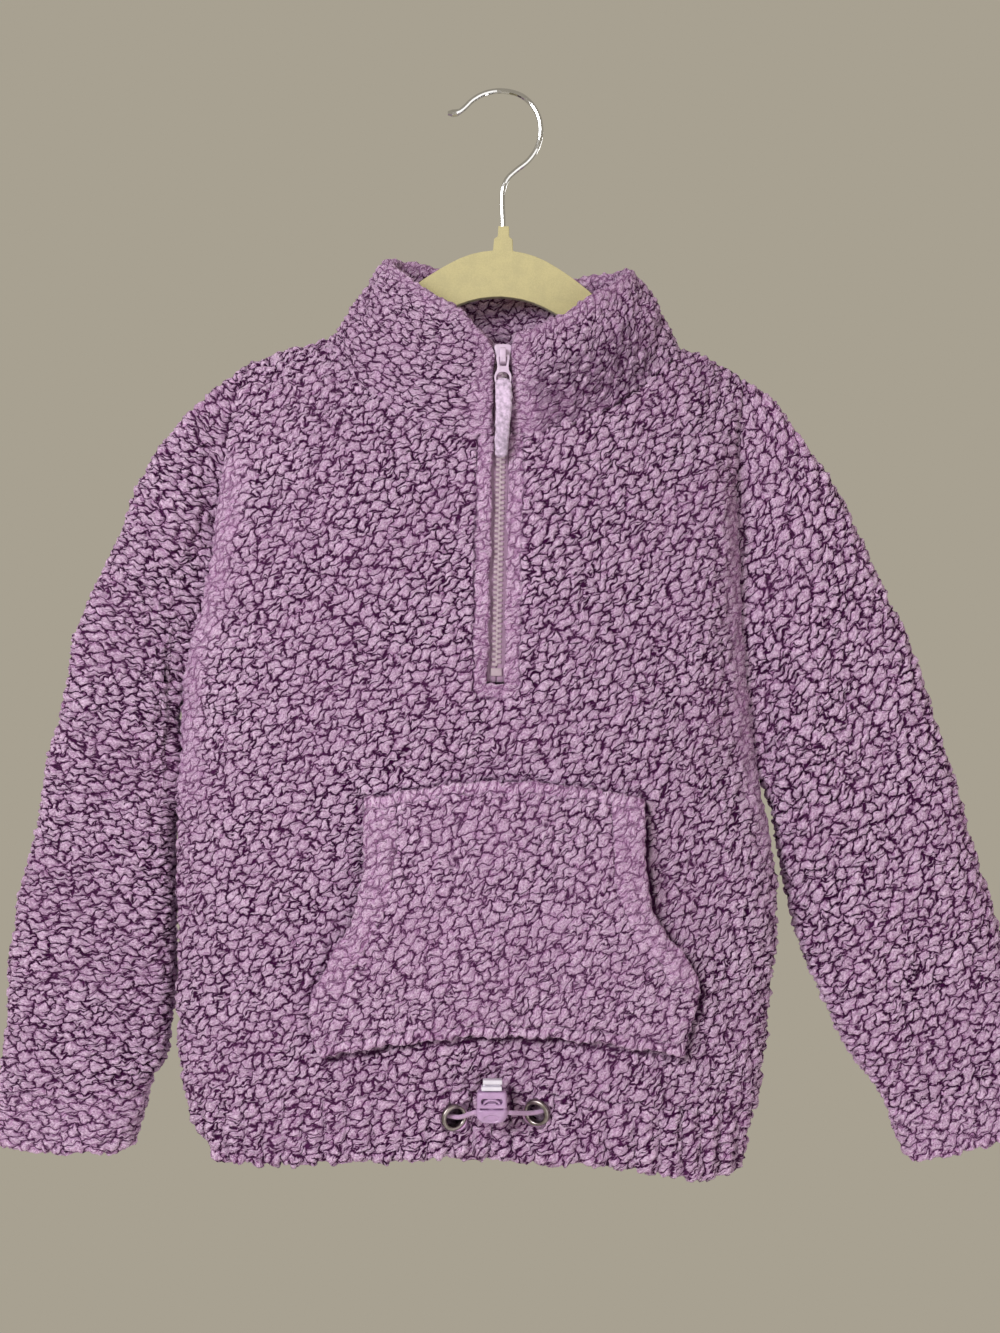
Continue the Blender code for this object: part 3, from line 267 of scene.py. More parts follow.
def panel_grid(front):
    shares = np.concatenate([
        np.linspace(-1, 0, LEFT_COLUMNS + 1)[:-1],
        np.zeros(SLIT_COLUMNS + 1),
        np.linspace(0, 1, RIGHT_COLUMNS + 1)[1:],
    ])
    slit = np.zeros(len(shares))
    slit[LEFT_COLUMNS:LEFT_COLUMNS + SLIT_COLUMNS + 1] = np.linspace(-1, 1, SLIT_COLUMNS + 1)

    def x_at(j, z):
        if shares[j] == 0:
            return from_table(z, ZIP_LINE) + slit[j] * SLIT_HALF
        return at_share(np.full_like(z, shares[j]), z)

    columns = []
    turn = (1 - np.cos(np.linspace(0, math.pi, 260))) / 2
    for j, share in enumerate(shares):
        x_top = np.array([0.0])
        for _ in range(8):
            x_top = x_at(j, top_z(x_top, front))
        start = float(top_z(x_top, front)[0])
        end = ARMPIT_Z[0] if share < 0 else ARMPIT_Z[1]
        reach = abs(share) if share < 0 else share**2
        armpit = SLIT_BOTTOM_Z + (end - SLIT_BOTTOM_Z) * reach
        hem = float(from_table(share, HEM_LINE, 1 if front else 2)) + HEM_FOLD_RADIUS + WALL / 2
        lines = []
        for z, count in (
            (start + (armpit - start) * turn, CHEST_ROWS + 1),
            (np.linspace(armpit, hem, 200), WAIST_ROWS + 1),
        ):
            x = x_at(j, z)
            lines.append(resample(np.stack([x, panel_y(x, z, front), z], axis=-1), count))
        columns.append(np.concatenate([lines[0], lines[1][1:]]))
    points = np.stack(columns, axis=1)
    middle = LEFT_COLUMNS + SLIT_COLUMNS // 2
    u = flat_way(points, 1, (1, 0, 0))
    v = flat_way(points, 0, (0, 0, 1))
    return {
        "points": points,
        "u": u - u[:, [middle]] + points[:, [middle], 0],
        "v": v - v[[CHEST_ROWS]] - points[[CHEST_ROWS], :, 2],
    }


def armhole_ring(right, count):
    """The armhole from the armpit up the front to the shoulder and down the back to the armpit."""
    top = SHOULDER_LINE[-1 if right else 0][1]
    armpit = ARMPIT_Z[1 if right else 0]
    z = top + (armpit - top) * (1 - np.cos(np.linspace(0, math.pi, 300))) / 2
    x = from_table(z, RIGHT_EDGE if right else LEFT_EDGE)
    halves = []
    for front in (True, False):
        line = np.stack([x, edge_y(z, np.full(z.shape, right), front), z], axis=-1)
        line[-1, 1] = line[0, 1] = 0
        halves.append(resample(line, count // 2 + 1))
    return np.concatenate([halves[0][::-1], halves[1][1:]])


def sleeve_grid(table, right):
    rings = [armhole_ring(right, SLEEVE_COLUMNS)]
    angle = np.linspace(0, math.pi, 200)
    n = 2 / SLEEVE_SQUARENESS
    for xo, zo, xi, zi, half_depth, y in table:
        outer, inner = np.array([xo, y, zo], float), np.array([xi, y, zi], float)
        along = -np.sign(np.cos(angle)) * np.abs(np.cos(angle)) ** n
        deep = np.sin(angle) ** n * half_depth
        line = (outer + inner) / 2 + along[:, None] * (outer - inner) / 2
        lift = deep[:, None] * [0, 1, 0]
        half = [resample(line + side * lift, SLEEVE_COLUMNS // 2 + 1) for side in (-1, 1)]
        rings.append(np.concatenate([half[0], half[1][::-1][1:]]))
    rings = np.stack(rings)
    way = np.linalg.norm(np.diff(rings, axis=0), axis=-1).mean(axis=1)
    stations = np.concatenate([[0], np.cumsum(way)])
    points = smooth(np.linspace(0, stations[-1], SLEEVE_ROWS + 1), stations, rings)
    side = 1 if right else -1
    axis = unit(np.array([table[-1][0] - table[0][0], 0, table[-1][1] - table[0][1]], float))
    outward = np.array([-axis[2], 0, axis[0]]) * side
    middle = SLEEVE_COLUMNS // 4
    u = flat_way(points, 1, outward)
    bulge = flat_way(points, 0, (0, 0, 0))
    return {
        "points": points,
        "u": u - u[:, [middle]] + (points @ outward)[:, [middle]],
        "v": points @ axis + bulge,
    }


def turn_in(grid, normals, radius, height):
    """Adds a fold at the last row and the layer that it turns in, as high as stated."""
    points, n = grid["points"], normals
    base, facing = points[-1], n[-1]
    down = points[-1] - points[-2]
    step = float(np.linalg.norm(down, axis=-1).mean())
    down = unit(down - (down * facing).sum(-1, keepdims=True) * facing)
    rows = [points]
    facings = [n]
    for angle in np.linspace(0, math.pi, FOLD_ROWS + 1)[1:]:
        out, over = math.cos(angle), math.sin(angle)
        rows.append((base - facing * radius * (1 - out) + down * radius * over)[None])
        facings.append((facing * out + down * over)[None])
    back = np.linspace(0, height / step, TURN_ROWS + 1)[1:]
    rows_at = np.arange(len(points))
    for k in back:
        at = np.array(len(points) - 1 - k)
        rows.append(smooth(at, rows_at, points)[None] - 2 * radius * smooth(at, rows_at, n)[None])
        facings.append(-smooth(at, rows_at, n)[None])
    all_points = np.concatenate(rows)
    steps = np.linalg.norm(np.diff(all_points[len(points) - 1:], axis=0), axis=-1)
    v = np.concatenate([grid["v"], grid["v"][-1] + np.cumsum(steps, axis=0)])
    u = np.concatenate([grid["u"], np.repeat(grid["u"][-1:], len(all_points) - len(points), axis=0)])
    return {"points": all_points, "u": u, "v": v}, unit(np.concatenate(facings))


def grid_normals(points, flip):
    across_it, down_it = np.gradient(points, axis=1), np.gradient(points, axis=0)
    normals = unit(np.cross(across_it, down_it))
    return -normals if flip else normals


def edge_distance(grid, top=True, left=True, right=True, bottom=False):
    """Distance over the cloth to the nearest sewn edge of its grid."""
    points = grid["points"]
    far = np.full(points.shape[:2], 1000.0)
    across_it = np.cumsum(np.linalg.norm(np.diff(points, axis=1), axis=-1), axis=1)
    down_it = np.cumsum(np.linalg.norm(np.diff(points, axis=0), axis=-1), axis=0)
    across_it = np.concatenate([np.zeros((len(points), 1)), across_it], axis=1)
    down_it = np.concatenate([np.zeros((1, points.shape[1])), down_it])
    if left:
        far = np.minimum(far, across_it)
    if right:
        far = np.minimum(far, across_it[:, [-1]] - across_it)
    if top:
        far = np.minimum(far, down_it)
    if bottom:
        far = np.minimum(far, down_it[[-1]] - down_it)
    return far


# ---- Sizes of the hard pieces ----

SEAM_INSET = 0.3
CHAIN_HALF, CHAIN_FACES = 3.1, (1.7, 4.3)
CHAIN_TOP_Z, CHAIN_BOTTOM_Z, TOOTH_PITCH = -160.6, -321.0, 2.75
STOP_Z, STOP_HALF = (-321.4, -325.8), 3.1
SLIDER_TOP_Z, SLIDER_LENGTH, SLIDER_FACES = -147.6, 12.6, (-0.6, 6.0)
CROWN_AXIS_Z, CROWN_AXIS_OUT, CROWN_SINK = -154.5, 2.9, 0.6
CROWN_HOLE_HALF, CROWN_THICKNESS, CROWN_ENDS = 1.35, 1.4, (4.4, -4.4)
LINK_HALF_THICKNESS, PULL_LEAN = 0.7, math.radians(4)
LINK_OUTLINE = [  # x, z from the crown's axis: right half of the outline, top to bottom
    (2.4, 0.75), (3.3, 0.3), (3.6, -1.5), (3.15, -4.0), (3.0, -6.0), (3.3, -8.0), (4.0, -9.2),
    (4.5, -10.6), (4.6, -12.2), (4.3, -14.2), (3.0, -14.9),
]
LINK_WINDOW = [(1.8, -0.75), (2.0, -1.1), (2.0, -5.0), (1.5, -5.7)]
LINK_SLOT = [(0.8, -8.9), (1.9, -9.2), (2.9, -10.1), (3.5, -11.3), (3.6, -13.3)]
STRAP_TOP, STRAP_BOTTOM, STRAP_HALF_THICKNESS = -12.0, -55.0, 1.6
STRAP_WIDTHS = [(0, 3.6), (0.08, 4.3), (0.25, 4.35), (0.6, 3.9), (0.85, 3.5), (1, 3.1)]  # share, half width
EYELETS = [("eyelet_left", -23.0, -562.0), ("eyelet_right", 21.5, -559.5)]  # node, x, z
EYELET_RADIUS, EYELET_HOLE, EYELET_HALF_THICKNESS = 7.5, 4.8, 1.9
EYELET_TURN = math.radians(26)
CORD_RADIUS, CORD_HOLE_Z = 1.25, -554.5
CORD_LEFT = [(-50, -561), (-75, -562), (-100, -563), (-120, -565), (-138, -566.5), (-152, -567)]  # x, z
CORD_BACK = [
    (-158, -567), (-138, -565.5), (-100, -563), (-60, -562), (0, -562), (44, -562.8), (80, -565),
    (100, -566.7), (129, -572),
]
CORD_RIGHT = [(132, -573.3), (118, -572), (99, -570.6), (80, -567), (61, -563.8), (46, -563.3)]
TOGGLE_X, TOGGLE_Y, TOGGLE_WIDTH, TOGGLE_Z = -2.6, -51.5, 17.0, (-561.3, -544.8)
TOGGLE_BODY = [  # z, half width, half depth
    (-561.3, 4.4, 2.4), (-560.9, 5.7, 3.2), (-560.1, 6.8, 3.9), (-558.8, 7.8, 4.45), (-557.0, 8.4, 4.75),
    (-555.2, 8.5, 4.8), (-554.4, 8.3, 4.6), (-553.6, 7.7, 4.0), (-552.9, 8.15, 4.4), (-546.4, 7.9, 4.2),
    (-545.4, 7.7, 4.0), (-544.95, 7.4, 3.75), (-544.8, 6.9, 3.4),
]
TOGGLE_WINDOW_Z, TOGGLE_BAR_Z, TOGGLE_LIP_Z = -549.6, -548.5, -549.3
TOGGLE_SLOT_Z, TOGGLE_OVAL_Z = -553.4, -558.4
BUTTON_WIDTH, BUTTON_DEPTH, BUTTON_TOP_Z = 11.0, 6.0, -538.5


# ---- Folds, laid on the cloth's coordinates ----

FRONT_FOLDS = [  # u, v, angle from the horizontal, half length, half width, height
    (0, 371, -2, 44, 5, -1.5), (8, 362, 3, 50, 5, 1.1), (-4, 352, -4, 42, 6, -1.1),
    (-72, 384, -38, 30, 5, -1.6), (-86, 374, -30, 32, 6, 1.4), (-98, 392, -52, 34, 6, -1.5),
    (66, 378, 24, 34, 6, -1.2), (92, 396, 40, 30, 7, -1.2),
    (-120, 300, 78, 60, 11, 1.8), (-100, 260, 70, 60, 10, -1.6), (92, 250, -70, 60, 12, -1.5),
    (112, 330, -80, 60, 10, 1.5), (118, 470, 84, 55, 10, -1.5), (-134, 480, -84, 60, 10, -1.5),
    (-60, 226, 30, 36, 8, -1.0), (60, 218, -32, 36, 8, -1.0), (-30, 545, 5, 60, 6, -0.9),
]
BACK_FOLDS = [  # u, v, angle, half length, half width, height
    (0, 176, 0, 70, 9, -1.6), (-70, 240, 62, 60, 12, 1.8), (70, 250, -60, 60, 12, 1.6),
    (-110, 350, 70, 60, 11, -1.8), (108, 370, -70, 60, 11, -1.6), (0, 420, 8, 80, 14, 1.6),
    (-60, 500, -20, 60, 12, -1.4), (60, 520, 16, 60, 12, -1.4), (10, 300, 84, 70, 16, -1.4),
]
LEFT_SLEEVE_FOLDS = [  # u outward, v along, angle, half length, half width, height
    (180, 330, 12, 26, 6, -1.5), (196, 372, -14, 28, 6, -1.3), (180, 410, 10, 26, 6, -1.2),
    (166, 470, -8, 30, 5, -1.2), (150, 300, 40, 30, 7, -1.5), (172, 520, 14, 26, 5, 1.0),
]
RIGHT_SLEEVE_FOLDS = [  # u outward, v along, angle, half length, half width, height
    (20, 350, 24, 40, 6, -1.7), (10, 390, 20, 38, 6, -1.5), (4, 430, 14, 34, 6, -1.6),
    (24, 470, 18, 38, 6, -1.4), (-10, 500, 10, 34, 5, -1.3), (16, 540, 22, 34, 5, -1.2),
]
POCKET_FOLDS = [  # u, v, angle, half length, half width, height
    (-30, 430, 80, 40, 10, 1.2), (20, 470, -76, 44, 10, -1.2), (48, 430, 70, 34, 8, 1.0),
    (-56, 500, 20, 34, 8, -1.0), (30, 515, -8, 50, 7, 1.0),
]
UNEVENNESS = 1.6
HEM_PUCKERS = {"length": 12.5, "height": 1.1}
GROOVE = 1.1
HEM_STITCH, CUFF_STITCH = 31.0, 27.0  # way up from the fold to the line that sews its hem down
ZIP_STITCH, ZIP_CREASE = 8.6, 8.2  # way out from the slit to the stitched line and its shade
POCKET_HEM, POCKET_BAND = 6.5, 16.5  # way in from the pocket's edge to its stitched lines
BODY_EDGES_RUBBED = 0.62  # share of the pile that is worn off where a sleeve rubs the body
POCKET_NAP = 0.76  # the pocket's pile is flatter than the body's
LINING_NAP = 0.8
ARMPIT_PILE = 5.3  # rise of the left sleeve's pile where it lies against the body
SEEDS = {"front": 4, "back": 7, "sleeve_right": 11, "sleeve_left": 12, "pocket": 21, "collar": 31, "strap": 5}
TUFTS = {  # width, height, turn, slope of the rows and a place in the pattern
    "front": (6.8, 5.5, -12, 0.22), "back": (6.8, 5.5, -10, 0, (61, 17)),
    "sleeve_right": (7.6, 5.9, -4, 0, (33, 91)), "sleeve_left": (7.6, 5.2, 30, 0, (17, 133)),
    "pocket": (7.0, 5.5, -18, 0.1, (9, 203)), "collar": (6.4, 4.8, -6, 0, (301, 57)),
}


def folds(grid, table):
    """Rise of the cloth along the folds of a table."""
    rise = np.zeros(grid["u"].shape)
    for u, v, angle, length, width, height in table:
        way = math.radians(angle)
        du, dv = grid["u"] - u, grid["v"] - v
        along = du * math.cos(way) + dv * math.sin(way)
        over = dv * math.cos(way) - du * math.sin(way) + 0.1 * length * np.sin(2.4 * along / length)
        rise += height * np.exp(-(over / width) ** 2 - (along / length) ** 2)
    return rise


def unevenness(grid, seed):
    """Broad soft waves that no two hangings of the same cloth share."""
    pick = np.random.default_rng(seed)
    rise = np.zeros(grid["u"].shape)
    for _ in range(9):
        way, length = pick.uniform(0, math.pi), pick.uniform(45, 130)
        phase = pick.uniform(0, 2 * math.pi)
        along = grid["u"] * math.cos(way) + grid["v"] * math.sin(way)
        rise += np.sin(2 * math.pi * along / length + phase) / 3
    return rise * UNEVENNESS


def groove(way, width=1.3):
    """A stitched line pressed into the pile."""
    return -GROOVE * np.exp(-((way / width) ** 2))


def raised(grid, normals, rise):
    return {**grid, "points": grid["points"] + normals * rise[..., None]}


WOBBLE = [  # way of the wave, way of the shift, size
    ((0.61, 0.2, 0.75), (0.8, 0.1, -0.5), 0.42), ((-0.9, 0.3, 0.42), (0.3, 0.2, 0.9), 0.42),
    ((0.2, -0.8, 1.1), (-0.7, 0.3, 0.5), 0.3), ((1.3, 0.5, 0.15), (0.1, 0.3, 0.9), 0.3),
    ((0.15, 0.4, -0.24), (0.7, 0.0, 0.7), 0.6), ((-0.27, 0.1, -0.12), (0.4, 0.0, -0.9), 0.6),
]


def wobbled(points):
    """The points shifted a little by where they are, so that seams wander and still meet."""
    shifted = points.copy()
    for wave, shift, size in WOBBLE:
        shifted += np.sin(points @ np.array(wave))[..., None] * np.array(shift) * size
    return shifted


# ---- Cloth walls ----

EDGE_ROUND = 2.4


def rounded(edge):
    """Share of the wall's thickness that is left near a sewn edge."""
    return np.sqrt(1 - (1 - np.clip(edge / EDGE_ROUND, 0, 1)) ** 2)


def wall(name, grid, normals, edge, nap, painted_shade, flip, pattern, absent=None, thickness=WALL):
    """A closed wall: a dense outer face, a coarse inner face and the rims between them."""
    points, s = grid["points"], STRIDE
    rows, columns = points.shape[:2]
    r, c = (rows - 1) // s, (columns - 1) // s
    here = np.ones((r, c), bool) if absent is None else ~absent
    share = 0.3 + 0.7 * rounded(edge)
    points = wobbled(points)
    outer = points + normals * (thickness / 2 * share)[..., None]
    inner = (points - normals * thickness / 2)[::s, ::s]
    o = np.arange(rows * columns).reshape(rows, columns)
    i = rows * columns + np.arange((r + 1) * (c + 1)).reshape(r + 1, c + 1)
    fine = np.kron(here, np.ones((s, s), bool))
    quads = np.stack([o[:-1, :-1], o[1:, :-1], o[1:, 1:], o[:-1, 1:]], axis=-1)[fine]
    lining = np.stack([i[:-1, :-1], i[:-1, 1:], i[1:, 1:], i[1:, :-1]], axis=-1)[here]
    faces = quads.tolist() + lining.tolist()
    for p, q in np.argwhere(here):
        a, b, a1, b1 = p * s, q * s, p * s + s, q * s + s
        if p == 0 or not here[p - 1, q]:
            faces.append([*o[a, b:b1 + 1], i[p, q + 1], i[p, q]])
        if p == r - 1 or not here[p + 1, q]:
            faces.append([*o[a1, b:b1 + 1][::-1], i[p + 1, q], i[p + 1, q + 1]])
        if q == 0 or not here[p, q - 1]:
            faces.append([*o[a:a1 + 1, b][::-1], i[p, q], i[p + 1, q]])
        if q == c - 1 or not here[p, q + 1]:
            faces.append([*o[a:a1 + 1, b1], i[p + 1, q + 1], i[p, q + 1]])
    if not flip:
        faces = [face[::-1] for face in faces]
    cloth = pattern(grid["u"], grid["v"])
    out = normals * ((0.35 + 0.65 * share) * nap)[..., None]
    every = {
        "cloth": np.concatenate([cloth.reshape(-1, 3), cloth[::s, ::s].reshape(-1, 3)]),
        "out": np.concatenate([out.reshape(-1, 3), np.zeros((inner.size // 3, 3))]),
        "nap": np.concatenate([nap.reshape(-1), np.full(inner.size // 3, LINING_NAP)]),
        "painted_shade": np.concatenate([painted_shade.reshape(-1), np.zeros(inner.size // 3)]),
    }
    return mesh_object(name, np.concatenate([outer.reshape(-1, 3), inner.reshape(-1, 3)]), faces, every)


def mesh_object(name, points, faces, attributes=None):
    """An object from points in millimetres, without the points that no face uses."""
    lengths = np.array([len(face) for face in faces])
    flat = np.array([k for face in faces for k in face])
    used = np.unique(flat)
    place = np.zeros(len(points), int)
    place[used] = np.arange(len(used))
    split = np.split(place[flat], np.cumsum(lengths)[:-1])
    mesh = bpy.data.meshes.new(name)
    mesh.from_pydata((np.asarray(points)[used] * MM).tolist(), [], [part.tolist() for part in split])
    for key, values in (attributes or {}).items():
        values = np.asarray(values)[used]
        kind, field = ("FLOAT_VECTOR", "vector") if values.ndim == 2 else ("FLOAT", "value")
        mesh.attributes.new(key, kind, "POINT").data.foreach_set(field, values.astype("f").ravel())
    mesh.shade_smooth()
    mesh.update()
    return linked(bpy.data.objects.new(name, mesh))


def linked(ob):
    bpy.context.scene.collection.objects.link(ob)
    return ob


def pattern(width, height, turn=0.0, slope=0.0, place=(0.0, 0.0)):
    """Turns u and v into counts of tufts: their size, turn and the slope of their rows to the right."""

    def put(u, v):
        way = math.radians(turn)
        v = v + slope * np.logaddexp(0, (u - 12) / 14) * 14
        down_it = (v * math.cos(way) - u * math.sin(way)) / height + place[1]
        across_it = (u * math.cos(way) + v * math.sin(way)) / width + place[0] + 0.5 * down_it
        return np.stack([across_it, down_it, np.zeros_like(u)], axis=-1)

    return put


# ---- Nodes of materials and of relief ----


class Graph:
    """Short ways to make nodes in a material's tree or in a geometry tree."""

    def __init__(self, tree):
        self.tree = tree

    def add(self, kind, inputs=None, **settings):
        node = self.tree.nodes.new(kind)
        for key, value in settings.items():
            setattr(node, key, value)
        for key, value in (inputs or {}).items():
            self.put(node.inputs[key], value)
        return node

    def put(self, socket, value):
        if isinstance(value, bpy.types.NodeSocket):
            self.tree.links.new(value, socket)
        else:
            socket.default_value = value

    def math(self, operation, *values):
        node = self.add("ShaderNodeMath", operation=operation)
        for socket, value in zip(node.inputs, values):
            self.put(socket, value)
        return node.outputs[0]

    def vector(self, operation, *values):
        node = self.add("ShaderNodeVectorMath", operation=operation)
        for socket, value in zip(node.inputs, values):
            self.put(socket, value)
        return node.outputs[0]

    def scaled(self, vector, factor):
        node = self.add("ShaderNodeVectorMath", {"Vector": vector, "Scale": factor}, operation="SCALE")
        return node.outputs[0]

    def shaken(self, vector, source, scale, detail, amount):
        """The vector moved by a coloured noise over the source coordinates."""
        colour = self.noise(source, scale, detail).outputs["Color"]
        shift = self.vector("SUBTRACT", colour, (0.5, 0.5, 0.5))
        return self.vector("ADD", vector, self.scaled(shift, amount))

    def ramp(self, value, low, high, to_low=0.0, to_high=1.0):
        inputs = {
            "Value": value, "From Min": low, "From Max": high, "To Min": to_low, "To Max": to_high,
        }
        return self.add("ShaderNodeMapRange", inputs, interpolation_type="SMOOTHSTEP").outputs[0]

    def mix(self, factor, a, b, colour=False):
        node = self.add("ShaderNodeMix", data_type="RGBA" if colour else "FLOAT")
        first = 6 if colour else 2
        for socket, value in ((0, factor), (first, a), (first + 1, b)):
            self.put(node.inputs[socket], value)
        return node.outputs[2 if colour else 0]

    def noise(self, position, scale, detail=2.0, roughness=0.5, dimensions="2D"):
        inputs = {"Vector": position, "Scale": scale, "Detail": detail, "Roughness": roughness}
        return self.add("ShaderNodeTexNoise", inputs, noise_dimensions=dimensions)

    def cells(self, position, scale, feature="F1", randomness=1.0):
        inputs = {"Vector": position, "Scale": scale, "Randomness": randomness}
        return self.add("ShaderNodeTexVoronoi", inputs, voronoi_dimensions="2D", feature=feature)


def tufts(graph, cloth):
    """Sherpa pile on cloth coordinates that count tufts: its swell, its splits and its curls."""
    # Cells of one tuft each, shaken so that no two are alike
    place = graph.shaken(cloth, cloth, 0.6, 2.0, 0.6)
    place = graph.shaken(place, cloth, 2.6, 3.0, 0.5)
    tuft_way = graph.cells(place, 1.0, "DISTANCE_TO_EDGE", 0.9).outputs["Distance"]
    dome = graph.ramp(graph.cells(place, 1.0, "F1", 0.9).outputs["Distance"], 0.1, 0.8, 1.0, 0.0)
    # Longer cracks along the rows, and the small curls of each tuft
    row_place = graph.vector("MULTIPLY", place, (0.36, 1.0, 1.0))
    row_way = graph.cells(row_place, 1.0, "DISTANCE_TO_EDGE", 0.8).outputs["Distance"]
    curl_place = graph.shaken(place, cloth, 6.0, 2.0, 0.34)
    curl_way = graph.cells(curl_place, 2.1, "DISTANCE_TO_EDGE").outputs["Distance"]
    # Splits that close here and there, so that tufts run together
    merge = graph.noise(cloth, 0.8, 2.0).outputs[0]
    width = graph.ramp(merge, 0.34, 0.66, 0.155, 0.07)
    split = graph.ramp(tuft_way, 0.0, width, 1.0, 0.0)
    broken = graph.ramp(graph.noise(cloth, 0.9, 1.0).outputs[0], 0.4, 0.62, 0.0, 0.85)
    row = graph.math("MULTIPLY", graph.ramp(row_way, 0.01, 0.09, 1.0, 0.0), broken)
    split = graph.math("MAXIMUM", split, row)
    nick = graph.math("MULTIPLY", graph.ramp(curl_way, 0.0, 0.07, 1.0, 0.0),
                      graph.ramp(tuft_way, 0.04, 0.28, 0.9, 0.12))
    swell = graph.math("MULTIPLY", graph.ramp(tuft_way, -0.02, 0.2), graph.mix(0.4, 1.0, dome))
    swell = graph.math("MULTIPLY", swell, graph.math("SUBTRACT", 1.0, graph.math("MULTIPLY", row, 0.7)))
    curl = graph.ramp(curl_way, -0.03, 0.22)
    return {"swell": swell, "split": split, "nick": nick, "curl": curl}


PILE_RISE, CURL_RISE, PILE_REST = 2.0, 0.7, 1.6  # mm: tufts, the curls on them, and the mean


def relief_tree():
    """Lifts the pile's tufts along the attribute out."""
    tree = bpy.data.node_groups.new("pile", "GeometryNodeTree")
    tree.interface.new_socket("Geometry", in_out="INPUT", socket_type="NodeSocketGeometry")
    tree.interface.new_socket("Geometry", in_out="OUTPUT", socket_type="NodeSocketGeometry")
    graph = Graph(tree)
    start, end = graph.add("NodeGroupInput"), graph.add("NodeGroupOutput")

    def named(name, kind):
        node = graph.add("GeometryNodeInputNamedAttribute", data_type=kind)
        node.inputs["Name"].default_value = name
        return node.outputs["Attribute"]

    pile = tufts(graph, named("cloth", "FLOAT_VECTOR"))
    height = graph.math("MULTIPLY", pile["swell"], PILE_RISE)
    height = graph.math("ADD", height, graph.math("MULTIPLY", pile["curl"], CURL_RISE))
    height = graph.math("MULTIPLY", graph.math("SUBTRACT", height, PILE_REST), MM)
    offset = graph.scaled(named("out", "FLOAT_VECTOR"), height)
    move = graph.add("GeometryNodeSetPosition", {"Geometry": start.outputs[0], "Offset": offset})
    tree.links.new(move.outputs[0], end.inputs[0])
    return tree


def applied(ob):
    """Keeps the result of the object's modifiers as its mesh."""
    bpy.context.view_layer.update()
    graph = bpy.context.evaluated_depsgraph_get()
    mesh = bpy.data.meshes.new_from_object(ob.evaluated_get(graph))
    ob.modifiers.clear()
    old, ob.data = ob.data, mesh
    bpy.data.meshes.remove(old)
    mesh.name = ob.name
    return ob


# ---- Colours and finishes ----


def srgb(red, green, blue):
    """Linear colour from an 8-bit display colour."""

    def linear(value):
        value /= 255
        return value / 12.92 if value <= 0.04045 else ((value + 0.055) / 1.055) ** 2.4

    return (linear(red), linear(green), linear(blue), 1.0)


FLEECE = {  # deep: painted shade in the cracks, pits and along seams; low: painted shade on the flanks, also the grain's darker fibres and broad patches; mid: over most of the tufts; tip: painted light on their tops
    "deep": srgb(56, 0, 56), "low": srgb(165, 97, 159), "mid": srgb(213, 170, 213),
    "tip": srgb(246, 220, 247),
}


def material(name):
    made = bpy.data.materials.new(name)
    made.use_nodes = True
    return made, Graph(made.node_tree), made.node_tree.nodes["Principled BSDF"]


